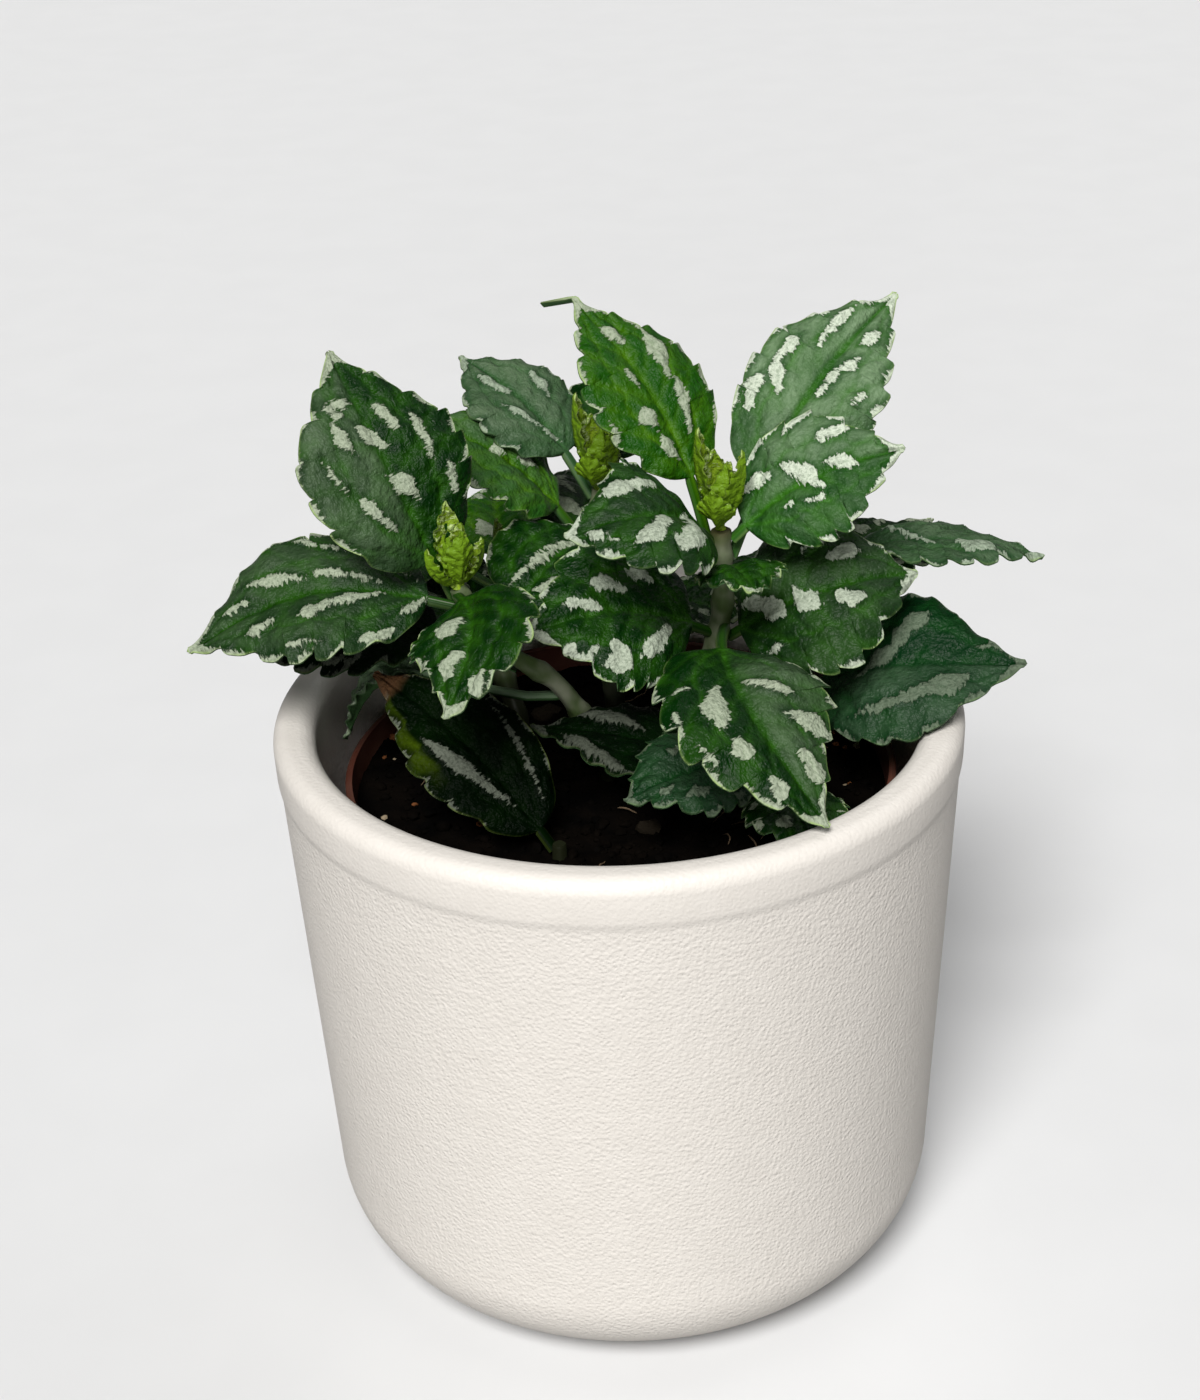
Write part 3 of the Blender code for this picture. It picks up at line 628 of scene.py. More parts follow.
@dataclass(frozen=True)
class BladeMaker:
    """The shape that all the leaves share: outline, teeth, veins, quilting and silver."""

    columns: int = 40
    petiole_radius: float = 0.0010
    petiole_depth: float = 0.0017
    petiole_end: float = 0.09
    thickness: float = 0.00055
    first_notch: float = 0.18
    last_notch: float = 0.86
    teeth: int = 5
    tooth_depth: float = 0.13
    tooth_lean: float = 0.0011
    tooth_peak: float = 0.80
    widest: float = 0.43
    base_rounding: float = 0.52
    tip_start: float = 0.60
    tip_draw: float = 0.62
    cup: float = 0.16
    swell: float = 0.05
    ripple: float = 0.00034
    vein_sink: float = 0.00030
    blister: float = 0.00044
    wave: float = 0.00055
    tooth_steps: tuple[float, ...] = (0.0, 0.10, 0.22, 0.34, 0.46, 0.58, 0.70, 0.80, 0.87, 0.93, 0.97)
    base_steps: tuple[float, ...] = (0.0, 0.006, 0.014, 0.025, 0.04, 0.06, 0.08, 0.10, 0.12, 0.14, 0.16)
    tip_steps: tuple[float, ...] = (0.0, 0.12, 0.24, 0.36, 0.48, 0.60, 0.70, 0.80, 0.88, 0.95, 1.0)

    def stations(self) -> np.ndarray:
        """The shares of the blade's length at which it has a row of points."""
        step = (self.last_notch - self.first_notch) / self.teeth
        teeth = [self.first_notch + step * (i + phase) for i in range(self.teeth) for phase in self.tooth_steps]
        tip = [self.last_notch + (1 - self.last_notch) * share for share in self.tip_steps]
        return np.array([*self.base_steps, *teeth, *tip])

    def outline(self, s: np.ndarray) -> np.ndarray:
        """Half the blade's width as a share of its most, without its teeth."""
        high = self.base_rounding * (1 - self.widest) / self.widest
        body = (s / self.widest) ** self.base_rounding * ((1 - s) / (1 - self.widest)) ** high
        return body * (1 - self.tip_draw * np.maximum(0.0, (s - self.tip_start) / (1 - self.tip_start)))

    def margin(self, s: np.ndarray) -> tuple[np.ndarray, np.ndarray]:
        """The teeth: a factor on the width, and how far the edge leans towards the tip."""
        step = (self.last_notch - self.first_notch) / self.teeth
        phase = ((s - self.first_notch) / step) % 1.0
        rising = np.sin(pi / 2 * np.minimum(phase / self.tooth_peak, 1.0))
        falling = np.cos(pi / 2 * np.maximum((phase - self.tooth_peak) / (1 - self.tooth_peak), 0.0))
        lean = np.where(phase < self.tooth_peak, (phase / self.tooth_peak) ** 2, falling)
        toothed = (s >= self.first_notch) & (s < self.last_notch)
        before = s < self.first_notch
        after = np.clip((s - self.last_notch) / (1 - self.last_notch), 0.0, 1.0)
        plain = np.where(before, 1 - self.tooth_depth * smooth_step(0.10, self.first_notch, s),
                         1 - self.tooth_depth * (1 - after) ** 3)
        factor = np.where(toothed, 1 - self.tooth_depth * (1 - rising * falling), plain)
        return factor, np.where(toothed, lean * self.tooth_lean, 0.0)

    def veins(self, s: np.ndarray, x: np.ndarray, across: np.ndarray, half: np.ndarray,
              blade: float) -> tuple[np.ndarray, np.ndarray]:
        """The sunken lines: the midrib with its two great side veins, and the small ones.

        Args:
            s: Share along the blade, at each point.
            x: Share of the half width, from -1 to 1.
            across: Distance from the midrib.
            half: Half the width there.
            blade: The blade's length.

        Returns:
            How strong the main veins are at each point, and how strong the small ones are.
        """
        side = 0.48 * np.minimum(1.0, (s / 0.20) ** 0.7)
        main = np.maximum(bell(across, 0.55 * MM), 0.8 * bell((np.abs(x) - side) * half, 0.50 * MM))
        step = (self.last_notch - self.first_notch) / self.teeth
        small = np.zeros_like(s)
        for i in range(self.teeth + 1):
            end = self.first_notch + step * (i + self.tooth_peak - 0.5)
            path = end - 0.27 * (1 - np.abs(x) ** 0.85)
            small = np.maximum(small, bell((s - path) * blade * 0.75, 0.50 * MM))
        return main, small * smooth_step(0.02, 0.10, s)

    def patches(self, leaf: Leaf, dice: np.random.Generator) -> list[tuple[float, ...]]:
        """The leaf's own patches, or else four rows of them at random places.

        Args:
            leaf: The leaf, for its pattern.
            dice: The leaf's own random draws.

        Returns:
            Place, share across, half length, half breadth and slant of each.
        """
        if leaf.name in SILVER:
            return list(SILVER[leaf.name])
        long, broad, slanted = leaf.pattern.value
        inner = ((0.22, 0.27, 0.085, 0.10, 34), (0.43, 0.32, 0.090, 0.12, 28), (0.64, 0.34, 0.075, 0.11, 20),
                 (0.81, 0.33, 0.045, 0.10, 14))
        outer = ((0.27, 0.76, 0.060, 0.07, 40), (0.43, 0.79, 0.055, 0.07, 34), (0.58, 0.79, 0.050, 0.07, 28))
        found = []
        for row, chance in ((inner, 0.88), (outer, 0.65)):
            for place, share, reach, breadth, slant in row:
                for hand in (-1, 1):
                    turn = dice.uniform(-1, 1, 5)
                    if dice.random() < chance:
                        found.append((place + 0.04 * turn[0], hand * (share + 0.05 * turn[1]),
                                      reach * long * (1 + 0.3 * turn[2]), breadth * broad * (1 + 0.4 * turn[3]),
                                      slant * slanted * (1 + 0.4 * turn[4])))
        return found

    def silver(self, s: np.ndarray, x: np.ndarray, along: np.ndarray, across: np.ndarray, half: np.ndarray,
               leaf: Leaf, dice: np.random.Generator) -> np.ndarray:
        """How far inside a silver patch each point lies, in millimetres, below 0 outside.

        Args:
            s: Share along the blade, at each point.
            x: Share of the half width, from -1 to 1.
            along: Distance from the blade's base.
            across: Distance from the midrib.
            half: Half the width there.
            leaf: The leaf, for its size and pattern.
            dice: The leaf's own random draws.

        Returns:
            The distance at each point.
        """
        found = np.full_like(s, -9.0)
        for place, share, reach, breadth, slant in self.patches(leaf, dice):
            blade = leaf.length - leaf.petiole
            hand, wobble = (1 if share > 0 else -1), dice.uniform(-1.5, 1.5)
            centre = np.array([place * blade, share * leaf.width / 2 * float(self.outline(np.array(place)))])
            angle = radians(hand * slant)
            a, b = along - centre[0], across - centre[1]
            run = (a * cos(angle) + b * sin(angle)) / (reach * blade)
            wide = (b * cos(angle) - a * sin(angle)) / MM
            half_wide = breadth * leaf.width / 2 / MM
            shape = (1 - np.abs(run) ** 2.6) * (1 + 0.28 * np.sin(4.0 * run + wobble))
            bend = hand * 0.35 * half_wide * (run**2 - 0.3)
            found = np.maximum(found, np.maximum(half_wide * shape - np.abs(wide + bend), -9.0))
        edge = (1 - np.abs(x)) * half / MM
        tipped = smooth_step(0.84, 0.98, s)
        band = 0.30 + 2.0 * tipped + 0.75 * np.sin(along / MM * 0.95 + 6 * dice.random() + 1.4 * np.sign(x))
        rim = (band * min(1.0, leaf.width / 0.026) - edge) * 0.8 - 9.0 * (1 - smooth_step(0.04, 0.16, s))
        return np.maximum(found, rim)

    def draft_into(self, draft: Draft, leaf: Leaf, base: np.ndarray, seed: int) -> None:
        """Builds a leaf's blade and petiole as one closed body.

        Args:
            draft: What it is added to.
            leaf: The leaf.
            base: The end of its petiole.
            seed: What its random draws start from.
        """
        dice = np.random.default_rng(seed)
        blade = leaf.length - leaf.petiole
        start = leaf.petiole / leaf.length
        sunk = -1.2 * MM / leaf.length
        petiole = np.concatenate([[sunk], np.linspace(0.0, 0.92, 5) * start])
        s_blade = self.stations()
        t = np.concatenate([petiole, start + s_blade * (1 - start)])
        s_row = np.concatenate([np.zeros(len(petiole)), s_blade])
        factor, lean = self.margin(s_row)
        tooth = np.clip((s_row - self.first_notch) / (self.last_notch - self.first_notch) * self.teeth,
                        0, self.teeth - 1).astype(int)
        depths = leaf.teeth * dice.uniform(0.45, 1.35, (2, self.teeth))[:, tooth]
        cut = 1 - (1 - factor) * depths
        cut[:, :len(petiole)] = 1.0
        lean = lean * leaf.teeth
        half_row = np.maximum(leaf.width / 2 * self.outline(s_row), self.petiole_radius * 0.8)
        half_row[:len(petiole)] = self.petiole_radius
        half_row[-1] = 0.12 * MM
        share = np.clip(s_row / self.petiole_end, 0.0, 1.0)
        if leaf.drip:
            extra = np.linspace(0.15, 1.0, 6)
            t = np.concatenate([t, 1 + extra * leaf.drip / leaf.length])
            s_row = np.concatenate([s_row, np.ones(len(extra))])
            half_row[-1] = 0.55 * MM
            half_row = np.concatenate([half_row, MM * (0.55 - 0.42 * extra)])
            lean = np.concatenate([lean, np.zeros(len(extra))])
            cut = np.concatenate([cut, np.ones((2, len(extra)))], axis=1)
            share = np.concatenate([share, np.ones(len(extra))])
        midrib = Midrib(leaf, base)
        centre = midrib.points(t)
        ahead, right, normal = midrib.axes(t)
        centre[0] = centre[1] + ahead[1] * sunk * leaf.length
        x_row = np.linspace(-1.0, 1.0, self.columns)
        s, x = np.meshgrid(s_row, x_row, indexing="ij")
        half = half_row[:, None] * np.where(x < 0, cut[0][:, None], cut[1][:, None])
        share = np.broadcast_to(share[:, None], s.shape)
        across, along = x * half, s * blade
        fold = radians(leaf.fold) * share
        crease = np.sqrt(x**2 + 0.0025) - 0.05
        lift = half * (crease * np.sin(fold) - self.cup * x**2 * share + self.swell * np.sin(pi * np.abs(x)) * share)
        main, small = self.veins(s, x, across, half, blade)
        silver = self.silver(s, x, along, across, half, leaf, dice)
        phase = (s - self.first_notch) / (self.last_notch - self.first_notch) * self.teeth * tau
        lift = lift + share * self.wave * np.abs(x) ** 3 * np.sin(phase + 1.2)
        turns = dice.uniform(0, tau, 4)
        ripple = (np.sin(along / MM * 0.33 + across / MM * 0.21 + turns[0])
                  + np.sin(along / MM * 0.19 - across / MM * 0.37 + turns[1])
                  + 0.6 * np.sin(along / MM * 0.72 + turns[2]) * np.sin(across / MM * 0.64 + turns[3]))
        lift = lift + share * self.ripple * ripple * np.minimum(np.abs(x) * 2, 1.0)
        edge = (1 - np.abs(x)) * half / MM
        inward = smooth_step(0.0, 1.2, edge)
        raised = self.blister * smooth_step(-0.4, 1.1, silver) * inward
        quilt = 0.5 * self.vein_sink * (1 - small) * inward
        relief = share * (raised + quilt - self.vein_sink * (1.2 * main + 0.5 * small) * inward)
        round_half = np.sqrt(np.maximum(1 - x**2, 0.0)) * self.petiole_depth / 2
        sheet_half = self.thickness / 2 * (1 - 0.55 * x**4)
        body_half = round_half * (1 - share) + sheet_half * share + 0.02 * MM
        keel = share * bell(across, 0.6 * MM) * 0.45 * MM * np.sqrt(np.clip(1 - s, 0.0, 1.0))
        keel = keel + share * 0.25 * MM * main * inward * (1 - s)
        flat = centre[:, None, :] + right[:, None, :] * (across * np.cos(fold))[..., None]
        flat = flat + ahead[:, None, :] * (lean[:, None] * np.abs(x) ** 1.5)[..., None]
        top = flat + normal[:, None, :] * (lift + relief + body_half)[..., None]
        bottom = flat + normal[:, None, :] * (lift + 0.5 * relief - body_half - keel)[..., None]
        # Painted sheen: how much grey-green lies where the blade would catch the bright surroundings; on the aged
        # leaf it places the real yellow-green margin.
        left, right, start = (*leaf.haze, 0.0)[:3]
        nearer = smooth_step(0.35, 0.60, s) if start else 0.30 + 0.70 * smooth_step(0.05, 0.38, s)
        amount = np.where(x > 0, right, left) * smooth_step(start, start + 0.12, np.abs(x))
        # Painted shadow: the painted sheen is held back near each silver patch and the silver margin, leaving a dark
        # rim round them.
        ring = 1 - 0.75 * smooth_step(-1.3, -0.1, silver)
        haze = nearer * amount * np.clip(0.80 + 0.16 * ripple, 0.0, 1.0) * (1 - 0.6 * main) * (1 - 0.3 * small) * ring
        scorch = smooth_step(1 - leaf.scorch, 1 - leaf.scorch * 0.6, s) if leaf.scorch else np.zeros_like(s)
        self.close(draft, top, bottom, s, x, along, across, edge, silver, main, small, haze, scorch, seed)

    def close(self, draft: Draft, top: np.ndarray, bottom: np.ndarray, s: np.ndarray, x: np.ndarray,
              along: np.ndarray, across: np.ndarray, edge: np.ndarray, silver: np.ndarray,
              main: np.ndarray, small: np.ndarray, haze: np.ndarray, scorch: np.ndarray,
              seed: int) -> None:
        """Adds the two sides of a blade with the strips that close them, and what they carry.

        Args:
            draft: What they are added to.
            top: The upper side's points, by row and column.
            bottom: The lower side's points.
            s: Share along the blade at each.
            x: Share of the half width at each; not used.
            along: Distance from the blade's base at each.
            across: Distance from the midrib at each.
            edge: Distance from the margin at each, in millimetres.
            silver: How far inside a silver patch each lies, in millimetres.
            main: How strong the main veins are at each.
            small: How strong the small veins are at each.
            haze: How strong the painted grey sheen is at each, or on the aged leaf its real yellowing.
            scorch: How dried each is.
            seed: Tells the leaves' grain apart.
        """
        rows, columns = s.shape
        count = rows * columns
        index = np.arange(count).reshape(rows, columns)
        strips = []
        for line, flip in ((index[:, 0], True), (index[:, -1], False),
                           (index[0, :], False), (index[-1, :], True)):
            quad = np.stack([line[:-1], line[1:], line[1:] + count, line[:-1] + count], axis=1)
            strips.append(quad[:, ::-1] if flip else quad)
        faces = (grid_faces(rows, columns), grid_faces(rows, columns, flip=True) + count, *strips)
        vein = np.clip(main * (1 - 0.6 * s) + 0.35 * small, 0.0, 1.0)
        place = np.stack([along / MM, across / MM, np.full(s.shape, 7.3 * seed)], axis=-1).reshape(-1, 3)
        double = np.concatenate([place, place + (0.0, 0.0, 3.1)])
        none = np.full(count, -9.0)
        draft.add(np.concatenate([top.reshape(-1, 3), bottom.reshape(-1, 3)]), faces,
                  silver=np.concatenate([silver.ravel(), none]), vein=np.tile(vein.ravel(), 2),
                  haze=np.tile(haze.ravel(), 2), scorch=np.tile(scorch.ravel(), 2),
                  edge=np.tile(edge.ravel(), 2), under=np.repeat([0.0, 1.0], count), blade=double)


STEMS = (
    Stem("stem_left", ((-0.002, 0.003, 0.092), (-0.006, 0.001, 0.1050), (-0.011, -0.002, 0.1145),
                       (-0.018, -0.003, 0.1205), (-0.0235, -0.005, 0.1285), (-0.0270, -0.006, 0.1355)),
         (0.107, 0.117, 0.129, 0.134)),
    Stem("stem_middle", ((0.012, 0.006, 0.092), (0.015, 0.004, 0.108), (0.019, 0.001, 0.126),
                         (0.019, 0.000, 0.142)), (0.106, 0.121, 0.128, 0.137, 0.141), radius=0.0022),
    Stem("stem_back_left", ((0.000, 0.019, 0.092), (-0.002, 0.021, 0.112), (-0.003, 0.024, 0.130),
                            (-0.002, 0.025, 0.140)), (0.108, 0.126, 0.136)),
    Stem("stem_right", ((0.027, 0.013, 0.092), (0.029, 0.015, 0.104), (0.034, 0.018, 0.118),
                        (0.035, 0.020, 0.129)), (0.101, 0.116, 0.127)),
    Stem("stem_back", ((-0.019, 0.022, 0.092), (-0.022, 0.028, 0.103), (-0.022, 0.034, 0.111),
                       (-0.020, 0.038, 0.117)), (0.101, 0.108, 0.115)),
    Stem("stem_front_left", ((-0.011, -0.026, 0.092), (-0.011, -0.026, 0.0954)),
         (0.094,), radius=0.0015),
    Stem("stem_front_right", ((0.027, -0.015, 0.092), (0.028, -0.017, 0.1065)), (0.101, 0.104), radius=0.0015),
)

LEAVES = (
    Leaf("leaf_left_tall", "stem_left", 0.134, 140, 57, 0.046, 0.031, roll=-22, arch=0.12, sweep=-0.10,
         petiole=0.006, pattern=Pattern.STRIPES, haze=(0.6, 0.0), teeth=0.75),
    Leaf("leaf_left_long", "stem_left", 0.132, 182, -8, 0.0465, 0.029, roll=-26, arch=0.15,
         petiole=0.004, pattern=Pattern.STRIPES, haze=(0.25, 0.35), teeth=0.8),
    Leaf("leaf_left_front", "stem_left", 0.1345, 267, -15, 0.0305, 0.024, roll=18, arch=0.18,
         sweep=-0.12, petiole=0.003),
    Leaf("leaf_left_inner", "stem_left", 0.125, 50, 20, 0.030, 0.026, roll=14, petiole=0.006, teeth=0.5),
    Leaf("leaf_left_under", "stem_left", 0.118, 167, 2, 0.052, 0.028, roll=-12, petiole=0.014,
         finish=IN_SHADE),
    Leaf("leaf_left_hanging", "stem_left", 0.111, 171, -15, 0.041, 0.010, arch=0.26, crest=0.66,
         petiole=0.022, fold=35, finish=PALE_LIFTED, pattern=Pattern.FAINT, teeth=0.2),
    Leaf("leaf_low_middle", "stem_front_right", 0.100, 168, 11, 0.043, 0.022, roll=-6, arch=0.06,
         petiole=0.006, pattern=Pattern.STRIPES, teeth=0.4, finish=IN_SHADE),
    Leaf("leaf_top_left", "stem_middle", 0.141, 207, 13, 0.028, 0.029, roll=-22, arch=0.21,
         sweep=-0.15, petiole=0.003, haze=(0.1, 0.1), finish=HALF_LIT),
    Leaf("leaf_top_front", "stem_middle", 0.1345, 285, 12, 0.0165, 0.0165, arch=0.16, sweep=0.03,
         petiole=0.003),
    Leaf("leaf_top_right", "stem_middle", 0.141, 0, 27, 0.032, 0.025, roll=42, petiole=0.002,
         finish=LIT, haze=(0.75, 0.25)),
    Leaf("leaf_crown_left", "stem_middle", 0.138, 137, 52, 0.049, 0.025, roll=-10, arch=0.12,
         petiole=0.012, drip=0.008, finish=FRESH),
    Leaf("leaf_crown_right", "stem_middle", 0.137, 42, 41, 0.055, 0.026, roll=25, arch=0.10,
         petiole=0.012, finish=LIT, haze=(1.0, 0.95)),
    Leaf("leaf_middle_left", "stem_middle", 0.1225, 201, 11, 0.0335, 0.031, roll=-42, arch=0.12,
         petiole=0.003, finish=HALF_LIT),
    Leaf("leaf_middle_right", "stem_middle", 0.121, 0, 18, 0.034, 0.033, roll=38, arch=0.14,
         sweep=0.12, petiole=0.0015, haze=(0.25, 0.15), finish=HALF_LIT),
    Leaf("leaf_front", "stem_middle", 0.1235, 286, -14, 0.0520, 0.031, arch=0.20, sweep=0.15,
         petiole=0.015, haze=(0.45, 0.0)),
    Leaf("leaf_back_left_near", "stem_back_left", 0.130, 177, 40, 0.039, 0.025, roll=-12, finish=FRESH,
         haze=(0.25, 0.45), teeth=0.7),
    Leaf("leaf_back_left_far", "stem_back_left", 0.139, 141, 34, 0.036, 0.024, roll=-5,
         pattern=Pattern.STRIPES, haze=(0.9, 0.8), teeth=0.5, finish=FROSTED),
    Leaf("leaf_back_high", "stem_back_left", 0.137, 75, 24, 0.038, 0.024),
    Leaf("leaf_back_mid", "stem_back_left", 0.125, 95, 2, 0.042, 0.026),
    Leaf("leaf_back_inner", "stem_back_left", 0.118, 343, 0, 0.025, 0.022),
    Leaf("leaf_back_low", "stem_back_left", 0.110, 50, 4, 0.028, 0.022),
    Leaf("leaf_right_long", "stem_right", 0.127, 356, 0, 0.042, 0.023, roll=-5, arch=0.08,
         pattern=Pattern.STRIPES, haze=(0.6, 0.6), finish=FROSTED),
    Leaf("leaf_right_low", "stem_right", 0.101, 334, 19, 0.048, 0.033, roll=30, arch=0.14, sweep=0.14,
         petiole=0.012, pattern=Pattern.STRIPES, haze=(0.0, 0.7), finish=BLURRED, teeth=0.3),
    Leaf("leaf_right_inner", "stem_right", 0.127, 84, 20, 0.031, 0.023),
    Leaf("leaf_right_back", "stem_right", 0.117, 44, 8, 0.037, 0.026),
    Leaf("leaf_right_rear", "stem_right", 0.110, 88, 2, 0.040, 0.025),
    Leaf("leaf_rear_left", "stem_back", 0.115, 158, 6, 0.036, 0.025),
    Leaf("leaf_rear_back", "stem_back", 0.115, 95, 4, 0.040, 0.025, finish=FRESH),
    Leaf("leaf_rear_low", "stem_back", 0.104, 125, 13, 0.040, 0.026),
    Leaf("leaf_rear_right", "stem_back", 0.106, 60, 12, 0.038, 0.025),
    Leaf("leaf_rear_far", "stem_back", 0.109, 192, 8, 0.034, 0.023),
    Leaf("leaf_soil_left", "stem_front_left", 0.0945, 141, 29, 0.045, 0.022, roll=-22, arch=0.08,
         petiole=0.003, finish=AGED_SHADED, pattern=Pattern.STRIPES, teeth=0.7, haze=(0.9, 0.0, 0.62), scorch=0.16),
    Leaf("leaf_soil_front", "stem_front_right", 0.104, 207, 4, 0.029, 0.023, roll=-12, petiole=0.004,
         haze=(0.5, 0.4), finish=BLURRED),
    Leaf("leaf_soil_right", "stem_front_right", 0.101, 277, 2, 0.025, 0.019, petiole=0.004),
)


# A leaf's larger silver patches: place along the blade and across its half, half length as a share of
# the blade, half breadth as a share of its half width, and slant outwards in degrees.
SILVER = {
    "leaf_top_front": (),
    "leaf_back_left_far": ((0.65, -0.17, 0.13, 0.12, 13), (0.48, 0.48, 0.12, 0.1, 12),
        (0.29, -0.22, 0.23, 0.08, 24)),
    "leaf_left_inner": ((0.3, -0.17, 0.23, 0.06, -14), (0.21, 0.3, 0.14, 0.11, 43),
        (0.58, -0.07, 0.2, 0.06, -29)),
    "leaf_left_tall": ((0.76, -0.3, 0.06, 0.05, 71), (0.73, -0.47, 0.05, 0.06, 41),
        (0.61, -0.38, 0.09, 0.07, 11), (0.64, 0.28, 0.08, 0.07, -20), (0.58, -0.02, 0.09, 0.08, 33),
        (0.5, 0.53, 0.13, 0.06, 2), (0.34, 0.07, 0.1, 0.09, -31), (0.48, -0.62, 0.09, 0.03, 14),
        (0.29, -0.4, 0.11, 0.07, 23), (0.28, 0.65, 0.08, 0.06, 12)),
    "leaf_left_long": ((0.58, 0.3, 0.13, 0.07, 15), (0.33, 0.2, 0.15, 0.05, 9),
        (0.44, -0.3, 0.08, 0.11, 25), (0.28, -0.15, 0.13, 0.07, 19), (0.76, 0.3, 0.07, 0.07, 3),
        (0.68, -0.42, 0.07, 0.08, 8), (0.18, -0.8, 0.09, 0.07, 28), (0.05, -0.38, 0.08, 0.06, 52),
        (0.43, 0.75, 0.12, 0.05, 33), (0.18, 0.5, 0.15, 0.02, 23), (0.49, -0.78, 0.09, 0.03, -4)),
    "leaf_left_front": ((0.39, 0.3, 0.13, 0.17, 41), (0.69, 0.25, 0.1, 0.14, 28),
        (0.78, -0.62, 0.07, 0.11, -36), (0.73, 0.93, 0.12, 0.06, -22)),
    "leaf_top_left": ((0.54, 0.48, 0.23, 0.13, -6), (0.51, -0.3, 0.2, 0.13, 46),
        (0.27, -0.35, 0.28, 0.14, 59), (0.88, 0.95, 0.15, 0.05, -59), (0.81, -0.47, 0.12, 0.06, -48)),
    "leaf_top_right": ((0.31, -0.93, 0.14, 0.07, 27), (0.49, -0.88, 0.1, 0.09, 28),
        (0.65, -0.6, 0.1, 0.09, 3), (0.19, -0.47, 0.1, 0.1, -19), (0.44, -0.07, 0.17, 0.11, -58),
        (0.66, -0.05, 0.11, 0.09, -22), (0.44, 0.35, 0.08, 0.04, 5), (0.28, 0.23, 0.05, 0.05, 1)),
    "leaf_crown_right": ((0.31, -0.72, 0.08, 0.12, 12), (0.41, -0.5, 0.08, 0.1, 39),
        (0.53, -0.62, 0.08, 0.08, 0), (0.71, -0.45, 0.11, 0.07, -1), (0.49, 0.15, 0.08, 0.08, -1),
        (0.6, 0.25, 0.06, 0.08, 25), (0.75, 0.35, 0.06, 0.09, 14), (0.49, 0.65, 0.05, 0.05, 6)),
    "leaf_crown_left": ((0.58, 0.45, 0.15, 0.13, 14), (0.31, 0.35, 0.14, 0.09, 13),
        (0.76, 0.1, 0.08, 0.09, -20), (0.32, -0.3, 0.07, 0.13, 13), (0.16, -0.25, 0.09, 0.1, 19),
        (0.53, -0.17, 0.07, 0.06, 5), (0.58, 1, 0.04, 0.03, -23), (0.37, 0.93, 0.07, 0.07, 19),
        (0.31, -0.88, 0.07, 0.04, 1)),
    "leaf_back_left_near": ((0.48, 0.05, 0.06, 0.1, -20), (0.29, 0.25, 0.11, 0.07, -29),
        (0.78, 0.05, 0.09, 0.05, 58)),
    "leaf_middle_left": ((0.67, 0.15, 0.11, 0.07, 21), (0.51, 0.3, 0.11, 0.09, 17),
        (0.8, -0.88, 0.07, 0.06, -67), (0.71, -0.72, 0.07, 0.06, 32), (0.54, -0.6, 0.11, 0.19, 82),
        (0.26, -0.42, 0.18, 0.11, 48), (0.32, 0.45, 0.09, 0.09, 17), (0.95, -1, 0.12, 0.02, -54)),
    "leaf_middle_right": ((0.18, -0.07, 0.15, 0.11, -42), (0.4, 0.07, 0.12, 0.11, 61),
        (0.61, 0.23, 0.08, 0.12, 28), (0.64, -0.4, 0.1, 0.1, 3), (0.54, -0.57, 0.13, 0.05, 20),
        (0.16, 0.58, 0.06, 0.05, -1)),
    "leaf_front": ((0.41, 0.35, 0.13, 0.13, 25), (0.38, -0.32, 0.13, 0.07, 51),
        (0.61, -0.57, 0.13, 0.11, 45), (0.61, 0.4, 0.06, 0.11, 9), (0.78, -0.47, 0.08, 0.11, -4),
        (0.79, 0.53, 0.05, 0.09, -12), (0.41, 0.83, 0.03, 0.04, 22), (0.58, 0.78, 0.06, 0.04, -24),
        (0.78, 0.95, 0.08, 0.03, -25), (0.3, 0.65, 0.05, 0.04, 86)),
    "leaf_right_low": ((0.34, -0.05, 0.16, 0.08, 38), (0.49, -0.42, 0.13, 0.13, 49),
        (0.38, 0.6, 0.14, 0.06, -16), (0.62, 0.43, 0.18, 0.13, -28), (0.86, -0.6, 0.07, 0.05, 0)),
    "leaf_right_long": ((0.26, -0.17, 0.24, 0.08, -49), (0.6, 0.38, 0.12, 0.24, 39),
        (0.36, 0.95, 0.07, 0.06, 17)),
    "leaf_soil_left": ((0.37, -0.33, 0.25, 0.12, 12), (0.31, 0.6, 0.23, 0.04, 15)),
    "leaf_low_middle": ((0.66, -0.72, 0.21, 0.14, -32), (0.63, 0.35, 0.2, 0.12, 11)),
    "leaf_soil_front": ((0.52, 0.4, 0.07, 0.08, -14), (0.41, 0.35, 0.05, 0.07, 20),
        (0.73, -0.4, 0.07, 0.08, 13), (0.54, -0.52, 0.11, 0.1, 11), (0.27, -0.78, 0.06, 0.07, 30)),
}


